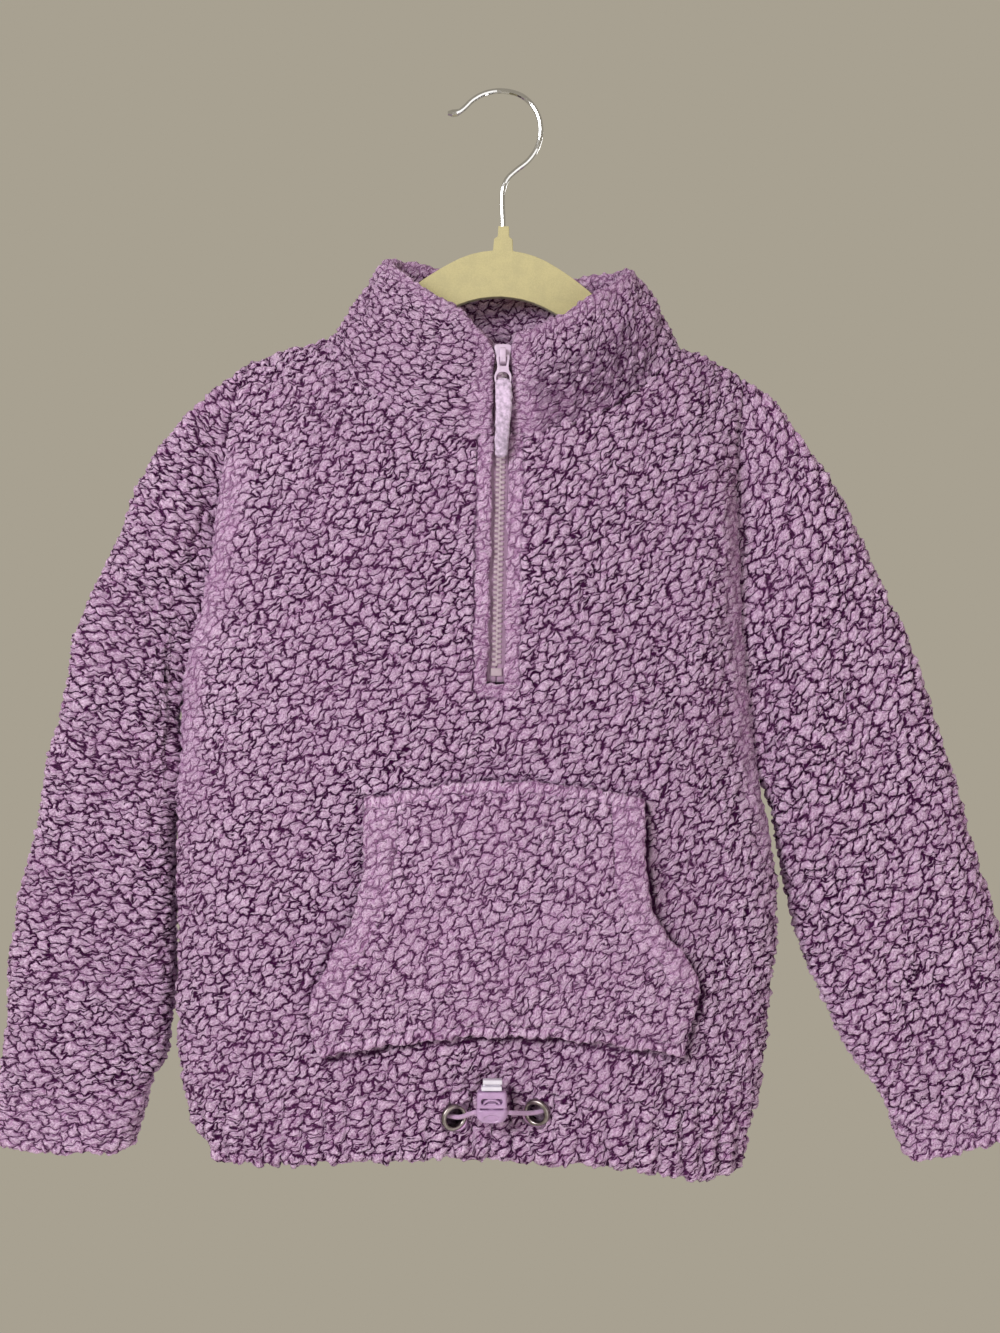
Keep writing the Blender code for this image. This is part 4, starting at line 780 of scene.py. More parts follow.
def fleece_material():
    """Sherpa: light tufts whose tops carry painted light, and painted shade in the splits between them, in
    pits and specks, along seams and beside edges that stand off the cloth.
    """
    made, graph, shader = material("fleece")
    cloth = graph.add("ShaderNodeAttribute", attribute_name="cloth").outputs["Vector"]
    nap = graph.add("ShaderNodeAttribute", attribute_name="nap").outputs["Fac"]
    pile = tufts(graph, cloth)
    fuzz = graph.noise(cloth, 9.0, 3.0, 0.7).outputs[0]
    pits = graph.ramp(fuzz, 0.33, 0.6)
    broad = graph.noise(cloth, 0.13, 2.0).outputs[0]
    # Tone by the pile's height: painted shade on the tufts' flanks and in the fuzz's hollows, painted light
    # on their tops
    tone = graph.math("ADD", graph.math("MULTIPLY", pile["swell"], 0.62),
                      graph.math("MULTIPLY", pile["curl"], 0.38))
    tone = graph.math("MULTIPLY", tone, graph.mix(pits, 0.7, 1.08))
    tone = graph.mix(nap, graph.mix(0.6, tone, 0.5), tone)
    colour = graph.mix(graph.ramp(tone, 0.06, 0.46), FLEECE["low"], FLEECE["mid"], colour=True)
    colour = graph.mix(graph.ramp(tone, 0.4, 0.85, 0.0, 0.8), colour, FLEECE["tip"], colour=True)
    # Painted shade in the splits and nicks between the tufts, weaker where the pile lies flat
    dark = graph.math("MAXIMUM", pile["split"], graph.math("MULTIPLY", pile["nick"], 0.55))
    dark = graph.math("MULTIPLY", dark, graph.mix(nap, 0.1, 1.0))
    # The fibres' own darker grain
    grain = graph.noise(cloth, 6.5, 3.0, 0.75).outputs[0]
    colour = graph.mix(graph.ramp(grain, 0.54, 0.32, 0.0, 0.7), colour, FLEECE["low"], colour=True)
    # Painted shade in small pits of the pile, stronger where the pile lies flat
    pit_shade = graph.ramp(graph.noise(cloth, 4.5, 4.0, 0.7).outputs[0], 0.44, 0.3, 0.0, 0.95)
    pit_shade = graph.math("MULTIPLY", pit_shade, graph.mix(nap, 1.0, 0.25))
    dark = graph.math("MAXIMUM", dark, pit_shade)
    # Painted shade along sewn and stitched lines, beside the pocket and the toggle and under the collar's
    # roll, patchy by a noise
    painted_shade = graph.add("ShaderNodeAttribute", attribute_name="painted_shade").outputs["Fac"]
    shade_breakup = graph.ramp(graph.noise(cloth, 1.7, 3.0).outputs[0], 0.36, 0.52, 0.35, 1.0)
    dark = graph.ramp(graph.math("MAXIMUM", dark, graph.math("MULTIPLY", painted_shade, shade_breakup)), 0.0, 0.8)
    colour = graph.mix(dark, colour, FLEECE["deep"], colour=True)
    # Broad patches of the fleece's own tone
    colour = graph.mix(graph.ramp(broad, 0.3, 0.7, 0.0, 0.14), colour, FLEECE["low"], colour=True)
    height = graph.math("SUBTRACT", pile["swell"], graph.math("MULTIPLY", pile["split"], 0.8))
    height = graph.math("SUBTRACT", height, graph.math("MULTIPLY", pile["nick"], 0.35))
    height = graph.math("MULTIPLY", graph.math("ADD", height, graph.math("MULTIPLY", pile["curl"], 0.7)),
                        graph.mix(nap, 0.3, 1.0))
    height = graph.math("ADD", height, graph.math("MULTIPLY", fuzz, 1.3))
    bump = graph.add("ShaderNodeBump", {"Strength": 1.0, "Distance": 0.9 * MM, "Height": height})
    graph.put(shader.inputs["Normal"], bump.outputs[0])
    graph.put(shader.inputs["Base Color"], colour)
    shader.inputs["Roughness"].default_value = 0.95
    shader.inputs["Sheen Weight"].default_value = 0.03
    shader.inputs["Sheen Roughness"].default_value = 0.5
    shader.inputs["Sheen Tint"].default_value = FLEECE["tip"]
    shader.inputs["Specular IOR Level"].default_value = 0.05
    return made


def solid_material(
    name, colour, roughness, grain=300.0, spread=0.12, bump=0.15, depth=0.1, metallic=0.0, sheen=0.0,
):
    """A moulded, drawn or flocked surface: a colour that varies a little, and its fine grain."""
    made, graph, shader = material(name)
    place = graph.add("ShaderNodeTexCoord").outputs["Object"]
    fine = graph.noise(place, grain, 3.0, 0.6, "3D").outputs[0]
    broad = graph.noise(place, grain / 9, 2.0, 0.5, "3D").outputs[0]
    darker = tuple(value * (1 - 2.2 * spread) for value in colour[:3]) + (1.0,)
    lighter = tuple(min(1, value * (1 + spread)) for value in colour[:3]) + (1.0,)
    tone = graph.math("ADD", graph.math("MULTIPLY", fine, 0.6), graph.math("MULTIPLY", broad, 0.4))
    mottled = graph.mix(graph.ramp(tone, 0.35, 0.65), darker, lighter, colour=True)
    graph.put(shader.inputs["Base Color"], mottled)
    smoothest, roughest = max(0.02, roughness * 0.85), min(1, roughness * 1.15)
    graph.put(shader.inputs["Roughness"], graph.ramp(broad, 0.3, 0.7, smoothest, roughest))
    lift = graph.add("ShaderNodeBump", {"Strength": bump, "Distance": depth * MM, "Height": fine})
    graph.put(shader.inputs["Normal"], lift.outputs[0])
    shader.inputs["Metallic"].default_value = metallic
    if sheen:
        shader.inputs["Sheen Weight"].default_value = sheen
        shader.inputs["Sheen Roughness"].default_value = 0.4
    return made


def woven_material(name, light, dark, across_step, along_step):
    """A woven tape: ribs along it, and the picks across them."""
    made, graph, shader = material(name)
    place = graph.add("ShaderNodeTexCoord").outputs["Object"]
    split = graph.add("ShaderNodeSeparateXYZ", {"Vector": place})
    ribs = graph.math("SINE", graph.math("MULTIPLY", split.outputs[0], 2 * math.pi / (across_step * MM)))
    picks = graph.math("SINE", graph.math("MULTIPLY", split.outputs[2], 2 * math.pi / (along_step * MM)))
    weave = graph.ramp(graph.math("MULTIPLY", ribs, picks), -0.8, 0.8)
    # Painted shade between the ribs and picks, lighter on them
    shaded = graph.mix(weave, dark, light, colour=True)
    fuzz = graph.noise(place, 900.0, 3.0, 0.6, "3D").outputs[0]
    shaded = graph.mix(graph.ramp(fuzz, 0.3, 0.7, 0.0, 0.35), shaded, dark, colour=True)
    graph.put(shader.inputs["Base Color"], shaded)
    lift = graph.add("ShaderNodeBump", {"Strength": 0.6, "Distance": 0.15 * MM, "Height": weave})
    graph.put(shader.inputs["Normal"], lift.outputs[0])
    shader.inputs["Roughness"].default_value = 0.85
    shader.inputs["Sheen Weight"].default_value = 0.2
    return made


# ---- Making the cloth ----


def cloth_piece(ob, node):
    ob.modifiers.new("pile", "NODES").node_group = RELIEF
    applied(ob)
    ob.data.materials.clear()
    ob.data.materials.append(FINISH["fleece"])
    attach(ob, BODY)
    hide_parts(node)
    return ob


def pocket_edges(downs):
    return (from_table(downs, POCKET_SIDES, k) for k in (1, 2, 3, 4))


TOGGLE_SHADOWS = [  # side, way out, top, strength, width
    (-1, 10.0, -545, 0.8, 1.5), (1, 10.4, -543, 1.0, 2.2),
]


def under_pocket(x, z):
    """How far a point of the front lies inside the pocket's left, right, top and bottom edge."""
    top, bottom = POCKET_SIDES[0][2], POCKET_SIDES[-1][2]
    downs = np.clip((z - top) / (bottom - top), 0, 1)
    left, _, right, _ = pocket_edges(downs)
    lines = []
    for end, bow in ((0, POCKET_TOP_BOW), (-1, POCKET_BOTTOM_BOW)):
        _, x0, z0, x1, z1 = POCKET_SIDES[end]
        share = np.clip((x - x0) / (x1 - x0), 0, 1)
        lines.append(z0 + (z1 - z0) * share + bow * np.sin(math.pi * share))
    return x - left, right - x, lines[0] - z, z - lines[1]


def shade_line(way, width=0.9):
    """A line of painted shade along seams, stitched lines and folds, or beside an edge that stands off the
    cloth.
    """
    return np.exp(-((way / width) ** 2))


POCKET_SHADOWS = [  # painted shadow beside the left, right, top and bottom edge: strength, way out, width
    (0.5, 1.0, 0.9), (1.0, 2.6, 1.6), (0.75, 0.8, 1.0), (0.9, 3.2, 1.3),
]
FOLDED_EDGE = {"left": (-205.0, -395.0, 15.0), "right": (-225.0, -430.0, 10.0)}  # top z, bottom z, width


def brushed_edge(points, edge_line, top, bottom, width):
    """1 on the rubbed roll of the body beside a sleeve, 0 away from it."""
    z = points[..., 2]
    way = np.abs(points[..., 0] - from_table(z, edge_line))
    along = ease(top + 12, top - 12, z) * ease(bottom - 25, bottom + 25, z)
    return ease(width * 1.5, width * 0.5, way) * along


def right_roll(x):
    """1 where the collar rolls over the front's neck, right of the zip."""
    return ease(36, 54, x) * ease(116, 98, x)


def make_panel(front):
    node = "front" if front else "back"
    grid = panel_grid(front)
    flip = front
    normals = grid_normals(grid["points"], flip)
    rise = folds(grid, FRONT_FOLDS if front else BACK_FOLDS) + unevenness(grid, SEEDS[node])
    edge = np.minimum(edge_distance(grid, top=False), edge_distance(grid, left=False, right=False) + 0.5)
    # The gathers of the hem and the line that sews it down
    hem = grid["v"][-1][None, :]
    gathered = ease(-38, -24, grid["v"] - hem)
    wave = np.sin(2 * math.pi * grid["u"] / HEM_PUCKERS["length"] + 1.6 * np.sin(grid["u"] / 19))
    rise = rise * ease(0, 25, edge)
    hem_line = grid["v"] - hem + HEM_STITCH
    rise = rise + gathered * wave * HEM_PUCKERS["height"] + groove(hem_line, 2.0)
    nap = np.ones(edge.shape)
    for line, (top, bottom, width) in zip((LEFT_EDGE, RIGHT_EDGE), FOLDED_EDGE.values()):
        nap = nap - BODY_EDGES_RUBBED * brushed_edge(grid["points"], line, top, bottom, width)
    absent = None
    # Painted shade along the side edges and the hem's stitched line
    painted_shade = 0.5 * shade_line(edge_distance(grid, top=False), 1.4) + 0.3 * shade_line(hem_line, 1.2)
    if front:
        # The band along the zip
        middle = grid["points"][:, [LEFT_COLUMNS + SLIT_COLUMNS // 2], 0]
        beside = np.maximum(np.abs(grid["points"][..., 0] - middle) - SLIT_HALF, 0)
        below = np.maximum(SLIT_BOTTOM_Z - grid["points"][..., 2], 0)
        way = np.hypot(beside, below)
        rise = rise * ease(0, 14, way) + groove(way - ZIP_STITCH) - 0.6 * ease(9, 6, way)
        nap = np.minimum(nap, 0.4 + 0.6 * ease(6.5, 10.5, way))
        edge = np.minimum(edge, way + 0.4)
        # The shade around the pocket, below the collar's roll and beside the toggle
        sides = under_pocket(grid["points"][..., 0], grid["points"][..., 2])
        inside = np.minimum(np.minimum(*sides[:2]), np.minimum(*sides[2:]))
        # Painted shadow beside the pocket's edges, where the pocket stands off the front
        for k, (strength, shift, width) in enumerate(POCKET_SHADOWS):
            others = [side_way for i, side_way in enumerate(sides) if i != k]
            within = ease(-3, 0, np.minimum.reduce(others))
            painted_shade = np.maximum(painted_shade, strength * shade_line(sides[k] + shift, width) * within)
        # Painted shade along the zip band's stitched line, darker left of the zip
        left_of_it = grid["points"][..., 0] < middle
        painted_shade = np.maximum(painted_shade, np.where(left_of_it, 0.9, 0.55) * shade_line(way - ZIP_CREASE, 0.9))
        # Painted shadow below the collar where it rolls over the neck, right of the zip
        neck_way = edge_distance(grid, left=False, right=False)
        painted_shade = np.maximum(painted_shade, 0.9 * right_roll(grid["points"][..., 0]) * shade_line(neck_way, 2.8))
        hidden = ease(2, 10, inside)
        for side, out, top, strength, width in TOGGLE_SHADOWS:
            beside = side * (grid["points"][..., 0] - TOGGLE_X) - out
            z = grid["points"][..., 2]
            within = ease(-563, -559, z) * ease(top, top - 4, z)
            painted_shade = np.maximum(painted_shade, strength * shade_line(beside, width) * within)
        nap, rise = nap * (1 - 0.8 * hidden), rise - 0.8 * hidden - 1.3 * ease(-6, 0, inside)
        # The slit for the zip
        rows = (len(edge) - 1 + FOLD_ROWS + TURN_ROWS) // STRIDE
        absent = np.zeros((rows, (edge.shape[1] - 1) // STRIDE), bool)
        first = LEFT_COLUMNS // STRIDE
        absent[:CHEST_ROWS // STRIDE, first:first + SLIT_COLUMNS // STRIDE] = True
    grid = raised(grid, normals, rise)
    normals = grid_normals(grid["points"], flip)
    grid, normals = turn_in(grid, normals, HEM_FOLD_RADIUS, HEM_TURN)
    edge, nap, painted_shade = (lengthened(field, FOLD_ROWS + TURN_ROWS) for field in (edge, nap, painted_shade))
    look = pattern(*TUFTS[node])
    ob = wall(node + "_cloth", grid, normals, edge, nap, painted_shade, flip, look, absent)
    if front:
        pierce(ob)
    return cloth_piece(ob, node)


def lengthened(field, extra):
    return np.concatenate([field, np.repeat(field[-1:], extra, axis=0)])


def pierce(ob):
    """Cuts the eyelets' holes through the front's wall."""
    work = bmesh.new()
    for _, x, z in EYELETS:
        centre, axis, way = eyelet_frame(x, z)
        turn = axes(way, np.cross(axis, way), axis, centre - axis * 1.0)
        radius = (EYELET_RADIUS - 0.5) * MM
        bmesh.ops.create_cone(
            work, cap_ends=True, segments=48, radius1=radius, radius2=radius, depth=9 * MM, matrix=turn,
        )
    mesh = bpy.data.meshes.new("holes")
    work.to_mesh(mesh)
    work.free()
    cutter = linked(bpy.data.objects.new("holes", mesh))
    cut = ob.modifiers.new("holes", "BOOLEAN")
    cut.operation, cut.solver, cut.object = "DIFFERENCE", "MANIFOLD", cutter
    applied(ob)
    bpy.data.objects.remove(cutter)
    bpy.data.meshes.remove(mesh)


def laid_flat(grid, step=4):
    """The grid with u and v of its cloth laid flat, as it was cut, turned to its present u and v."""
    points = grid["points"][::step, ::step]
    rows, columns = points.shape[:2]
    at = np.arange(rows * columns).reshape(rows, columns)
    quads = np.stack([at[:-1, :-1], at[1:, :-1], at[1:, 1:], at[:-1, 1:]], axis=-1).reshape(-1, 4)
    mesh = bpy.data.meshes.new("cut")
    mesh.from_pydata((points.reshape(-1, 3) * MM).tolist(), [], quads.tolist())
    mesh.uv_layers.new(name="cut")
    ob = linked(bpy.data.objects.new("cut", mesh))
    bpy.context.view_layer.objects.active = ob
    ob.select_set(True)
    bpy.ops.object.mode_set(mode="EDIT")
    bpy.ops.mesh.select_all(action="SELECT")
    bpy.ops.uv.unwrap(method="MINIMUM_STRETCH", margin=0.0)
    bpy.ops.object.mode_set(mode="OBJECT")
    held = np.zeros(len(mesh.loops) * 2)
    mesh.uv_layers[0].data.foreach_get("uv", held)
    flat = np.zeros((rows * columns, 2))
    flat[quads.ravel()] = held.reshape(-1, 2)
    present = np.stack([grid[key][::step, ::step].ravel() for key in ("u", "v")], axis=-1)
    front = np.tile(np.arange(columns) < columns // 2, rows)
    middle, aim = flat[front].mean(axis=0), present[front].mean(axis=0)
    left, _, right = np.linalg.svd((flat[front] - middle).T @ (present[front] - aim))
    size = math.sqrt(((present[front] - aim) ** 2).sum() / ((flat[front] - middle) ** 2).sum())
    flat = (flat - middle) @ left @ right * size + aim
    bpy.data.objects.remove(ob)
    bpy.data.meshes.remove(mesh)
    u, v = (resized(flat[:, k].reshape(rows, columns), *grid["u"].shape) for k in (0, 1))
    return {**grid, "u": u, "v": v}


def make_sleeve(right):
    node = "sleeve_right" if right else "sleeve_left"
    table = RIGHT_SLEEVE if right else LEFT_SLEEVE
    grid = sleeve_grid(table, right)
    flip = right
    normals = grid_normals(grid["points"], flip)
    rise = folds(grid, RIGHT_SLEEVE_FOLDS if right else LEFT_SLEEVE_FOLDS)
    rise = rise + unevenness(grid, SEEDS[node])
    edge = edge_distance(grid)
    rise = rise * ease(0, 25, edge)
    down = np.cumsum(np.linalg.norm(np.diff(grid["points"], axis=0), axis=-1), axis=0)
    down = np.concatenate([np.zeros((1, down.shape[1])), down])
    cuff = down[-1:] - down
    rise = rise + groove(cuff - CUFF_STITCH, 1.8)
    nap = 0.7 + 0.3 * ease(22, 31, cuff)
    z = grid["points"][..., 2]
    if not right:  # the pile at the armpit, where the sleeve and the body lie against each other
        near = ease(16, 4, edge_distance(grid, top=False)) * ease(3, 12, down)
        rise = rise + ARMPIT_PILE * near * ease(-412, -386, z)
    # Painted shade along the armhole and the cuff's stitched line
    painted_shade = 0.5 * shade_line(down, 1.4) + 0.35 * shade_line(cuff - CUFF_STITCH, 1.2)
    grid = raised(laid_flat(grid), normals, rise)
    normals = grid_normals(grid["points"], flip)
    grid, normals = turn_in(grid, normals, CUFF_FOLD_RADIUS, CUFF_TURN)
    edge, nap, painted_shade = (lengthened(field, FOLD_ROWS + TURN_ROWS) for field in (edge, nap, painted_shade))
    ob = wall(node + "_cloth", grid, normals, edge, nap, painted_shade, flip, pattern(*TUFTS[node]))
    return cloth_piece(ob, node)


def make_pocket():
    shares = np.linspace(0, 1, POCKET_COLUMNS + 1)[None, :]
    downs = np.linspace(0, 1, POCKET_ROWS + 1)[:, None]
    lx, lz, rx, rz = pocket_edges(downs)
    bow = np.sin(math.pi * shares)
    x = lx + (rx - lx) * shares
    z = lz + (rz - lz) * shares + bow * (POCKET_TOP_BOW * (1 - downs) + POCKET_BOTTOM_BOW * downs)
    opening = np.sin(math.pi * np.clip(downs / POCKET_OPEN_END, 0, 1))
    middle = np.sqrt(np.sin(math.pi * shares)) * np.sin(math.pi * downs) ** 0.7
    at_edge = (1 - np.sqrt(np.sin(math.pi * shares))) * opening * 0.85
    lift = POCKET_LIFT + POCKET_STAND_OFF * (middle + at_edge)
    points = front_points(x, z) + front_normals(x, z) * lift[..., None]
    grid = {"points": points, "u": points[..., 0], "v": -points[..., 2]}
    normals = grid_normals(points, True)
    side = np.minimum(points[..., 0] - lx, rx - points[..., 0])
    edge = edge_distance(grid, left=True, right=True, bottom=True)
    banded = ease(0.8, 0.72, downs) * ease(0.0, 0.06, downs)
    rise = (folds(grid, POCKET_FOLDS) + unevenness(grid, SEEDS["pocket"]) * 0.6) * ease(0, 18, edge)
    rise = rise + groove(side - POCKET_BAND) * banded
    hems = np.minimum(edge_distance(grid, left=False, right=False, bottom=True), 99)
    rolled = np.exp(-(((hems - 2.6) / 1.9) ** 2))
    full = 0.8 * banded * np.exp(-(((side - 9) / 6) ** 2))
    rise = rise + groove(hems - POCKET_HEM, 1.3) + 0.9 * rolled + full
    on_hem = (0.15 + 0.25 * ease(0.5, 0.2, downs)) * ease(6.5, 4.5, hems)
    nap = POCKET_NAP * (1 - 0.42 * banded * ease(18.5, 14, side)) * (1 - on_hem)
    grid = raised(grid, normals, rise)
    normals = grid_normals(grid["points"], True)
    # Painted shade along the hem's and the bands' stitched lines
    painted_shade = np.maximum(0.35 * shade_line(hems - POCKET_HEM), 0.3 * banded * shade_line(side - POCKET_BAND))
    ob = wall("pocket_cloth", grid, normals, edge, nap, painted_shade, True, pattern(*TUFTS["pocket"]))
    return cloth_piece(ob, "pocket")


def neck_line():
    """The neck seam from one side of the zip round the back to the other, and shares of the way."""
    middle = float(from_table(FRONT_NECK[4][1], ZIP_LINE))
    left, right = NECK_X
    runs = [
        (np.linspace(middle - SLIT_HALF, left, 300), True),
        (np.linspace(left, right, 400), False),
        (np.linspace(right, middle + SLIT_HALF, 300), True),
    ]
    line, marks = [], [0]
    for x, front in runs:
        z = top_z(x, front)
        line.append(np.stack([x, panel_y(x, z, front), z], axis=-1))
        marks.append(marks[-1] + len(x))
    line = np.concatenate(line)
    way = np.concatenate([[0], np.cumsum(np.linalg.norm(np.diff(line, axis=0), axis=1))])
    marks = [0, marks[1] - 1, marks[2] - 1, len(line) - 1]
    at = np.linspace(0, way[-1], COLLAR_COLUMNS + 1)
    base = np.stack([np.interp(at, way, line[:, k]) for k in range(3)], axis=-1)
    return base, np.interp(at, way[marks], [0, *COLLAR_NECK_SHARES, 1])


COLLAR_CORNER = 9.0
COLLAR_FOLDS = [  # way round from the zip's left side, way up, angle, half length, half width, height
    (26, 20, 12, 22, 4, -1.2), (52, 30, 30, 20, 4, -1.2), (60, 12, -10, 26, 4, -1.1),
    (452, 14, 8, 30, 4, -1.4), (420, 30, -30, 22, 4, -1.2), (470, 34, -14, 18, 4, 1.0),
    (200, 20, 6, 40, 5, -1.2), (300, 26, -6, 44, 5, 1.2),
]


def make_collar():
    """Double cloth: outer face, rounded top and inner face, in one section carried round the neck."""
    base, shares = neck_line()
    top = np.stack([from_table(shares, COLLAR_TOP, k) for k in (1, 2, 3)], axis=-1)
    # The corners beside the zip are rounded
    run = np.concatenate([[0], np.cumsum(np.linalg.norm(np.diff((base + top) / 2, axis=0), axis=1))])
    end_way = np.minimum(run, run[-1] - run)
    corner = COLLAR_CORNER * (1 - np.sqrt(1 - (1 - np.clip(end_way / COLLAR_CORNER, 0, 1)) ** 2))
    height = np.linalg.norm(top - base, axis=1)
    top = base + (top - base) * (1 - corner / height)[:, None]
    middle = np.array([4.0, -6.0, 0.0])
    steps = np.linspace(0, 1, COLLAR_ROWS + 1)[:, None, None]
    rows = base + SEAM_INSET * unit(top - base) + (top - base) * steps
    outward = unit((rows - middle) * [1, 1, 0])
    at_ends = np.clip(np.minimum(shares, 1 - shares) / 0.08, 0, 1)[None, :, None]
    rows = rows + outward * COLLAR_BULGE * np.sin(math.pi * steps) * at_ends
    grid = {"u": np.broadcast_to(run, rows.shape[:2]), "v": steps[..., 0] * height}
    normals = grid_normals(rows, False)
    if (normals * outward).sum() < 0:
        normals = -normals
    rise = folds(grid, COLLAR_FOLDS) + unevenness(grid, SEEDS["collar"]) * 0.8
    rise = rise * ease(0, 14, end_way)[None, :]
    rise = rise * np.sin(math.pi * np.clip(steps[..., 0], 0, 0.5))
    rows = rows + normals * rise[..., None]
    # Outer face with its lip over the neck seam, rounded top and inner face
    half, out = COLLAR_WALL / 2, WALL / 2
    deep = np.minimum(out + 10 * steps, COLLAR_WALL - out)
    bottom = 0.7 + 0.3 * rounded(grid["v"])[..., None]
    share = rounded(end_way)[None, :, None]
    lip = (np.clip(1 - grid["v"] / 5, 0, 1) ** 1.5 * ease(0, 8, end_way))[..., None]
    rolled = (right_roll(base[:, 0]) * (base[:, 1] < 0))[None, :, None]
    outer = rows + normals * out * share * bottom
    outer = outer + lip * (normals * (0.8 + 1.6 * rolled) - unit(top - base) * (1.9 + 1.6 * rolled))
    inner = rows - normals * deep * share
    up = unit(rows[-1] - rows[-2])
    centre = rows[-1] - (deep[-1] - half) * normals[-1] * share[0]
    arch = []
    for angle in np.linspace(0, math.pi, COLLAR_ARCH_ROWS + 1)[1:-1]:
        way = normals[-1] * math.cos(angle) + 0.75 * up * math.sin(angle)
        arch.append(centre + half * way * share[0])
    loops = wobbled(np.concatenate([outer, np.stack(arch), inner[::-1]]))
    count, columns = loops.shape[:2]
    step = np.linalg.norm(np.diff(loops, axis=0), axis=-1)
    around = np.concatenate([np.zeros((1, columns)), np.cumsum(step, axis=0)])
    facing = grid_normals(loops, False)
    if (facing[2] * outward[2]).sum() < 0:
        facing = -facing
    # Rings of the section and its two ends
    faces = []
    for i in range(count):
        k = (i + 1) % count
        for j in range(columns - 1):
            faces.append((i * columns + j, k * columns + j, k * columns + j + 1, i * columns + j + 1))
    faces.append([i * columns for i in range(count)][::-1])
    faces.append([i * columns + columns - 1 for i in range(count)])
    flat_u = np.broadcast_to(run, around.shape)
    shaded = ease(10, 26, base[:, 0]) * ease(96, 80, base[:, 0]) * (base[:, 1] < 0)
    top_way = np.abs(around - around[COLLAR_ROWS + COLLAR_ARCH_ROWS // 2])
    nap = 0.4 + 0.52 * ease(5, 16, top_way) * ease(8, 18, end_way)
    lift = facing * (nap * (0.3 + 0.7 * share[..., 0]))[..., None]
    every = {
        "cloth": pattern(*TUFTS["collar"])(flat_u, around).reshape(-1, 3),
        "out": lift.reshape(-1, 3),
        "nap": nap.reshape(-1),
        # Painted shadow under the lip where the collar rolls over the neck, and painted shade on the collar's
        # lower right
        "painted_shade": np.maximum(
            0.8 * rolled[0, :, 0] * shade_line(around - 0.5, 1.2),
            0.42 * shaded[None, :] * ease(46, 30, around),
        ).reshape(-1),
    }
    if (unit(np.cross(loops[3, 9] - loops[2, 9], loops[2, 10] - loops[2, 9])) * facing[2, 9]).sum() < 0:
        faces = [face[::-1] for face in faces]
    ob = mesh_object("collar_cloth", loops.reshape(-1, 3), faces, every)
    return cloth_piece(ob, "collar")


# ---- Small helpers for hard pieces ----


def axes(x_axis, y_axis, z_axis, origin):
    """A matrix that takes local axes to these directions, and the origin to a point in mm."""
    turn = Matrix((tuple(x_axis), tuple(y_axis), tuple(z_axis))).transposed().to_4x4()
    return Matrix.Translation(Vector(origin) * MM) @ turn


def mirrored(half):
    """A closed outline from its right half, given top to bottom."""
    return list(half) + [(-x, y) for x, y in reversed(half)]


def plate(name, loops, half_thickness, matrix, bevel):
    """A flat plate with softened edges from closed outlines in millimetres."""
    curve = bpy.data.curves.new(name, "CURVE")
    curve.dimensions = "2D"
    curve.fill_mode = "BOTH"
    curve.extrude = (half_thickness - bevel) * MM
    curve.bevel_depth = bevel * MM
    curve.bevel_resolution = 2
    curve.offset = -bevel * MM
    for loop in loops:
        spline = curve.splines.new("POLY")
        spline.points.add(len(loop) - 1)
        for point, (x, y) in zip(spline.points, loop):
            point.co = (x * MM, y * MM, 0, 1)
        spline.use_cyclic_u = True
    return from_curve(curve, matrix)


def from_curve(curve, matrix=None):
    holder = linked(bpy.data.objects.new(curve.name, curve))
    bpy.context.view_layer.update()
    graph = bpy.context.evaluated_depsgraph_get()
    mesh = bpy.data.meshes.new_from_object(holder.evaluated_get(graph))
    bpy.data.objects.remove(holder)
    ob = linked(bpy.data.objects.new(curve.name, mesh))
    bpy.data.curves.remove(curve)
    ob.name = mesh.name
    work = bmesh.new()
    work.from_mesh(mesh)
    if matrix:
        work.transform(matrix)
    bmesh.ops.remove_doubles(work, verts=work.verts, dist=0.00001)
    bmesh.ops.recalc_face_normals(work, faces=work.faces)
    work.to_mesh(mesh)
    work.free()
    return ob


def joined(name, pieces):
    """One object from several."""
    work = bmesh.new()
    for ob in pieces:
        work.from_mesh(ob.data)
    mesh = bpy.data.meshes.new(name)
    work.to_mesh(mesh)
    work.free()
    for ob in pieces:
        old = ob.data
        bpy.data.objects.remove(ob)
        bpy.data.meshes.remove(old)
    return linked(bpy.data.objects.new(name, mesh))


def block(low, high, bevel, segments=3, taper=0.0):
    """Points and faces of a block with rounded edges between two corners in millimetres."""
    work = bmesh.new()
    size = np.asarray(high, float) - low
    bmesh.ops.create_cube(work, size=1.0, matrix=Matrix.Diagonal((*size, 1)))
    for vert in work.verts:
        if taper and vert.co.y < 0:
            vert.co.x *= 1 - taper
            vert.co.z *= 1 - taper
    bmesh.ops.bevel(
        work, geom=work.edges[:], offset=bevel, segments=segments, profile=0.5, affect="EDGES",
    )
    middle = (np.asarray(high, float) + low) / 2
    work.verts.index_update()
    points = np.array([vert.co[:] for vert in work.verts]) + middle
    faces = [[vert.index for vert in face.verts] for face in work.faces]
    work.free()
    return points, faces


def tube_faces(rings, around):
    """Faces of a closed tube of rings, with its two ends."""
    index = np.arange(rings * around).reshape(rings, around)
    after = np.roll(index, -1, axis=1)
    faces = np.stack([index[:-1], index[1:], after[1:], after[:-1]], axis=-1).reshape(-1, 4).tolist()
    return faces + [index[0].tolist(), index[-1][::-1].tolist()]


def gathered_blocks(name, blocks):
    points, faces, start = [], [], 0
    for some, more in blocks:
        points.append(some)
        faces += [[k + start for k in face] for face in more]
        start += len(some)
    return mesh_object(name, np.concatenate(points), faces)


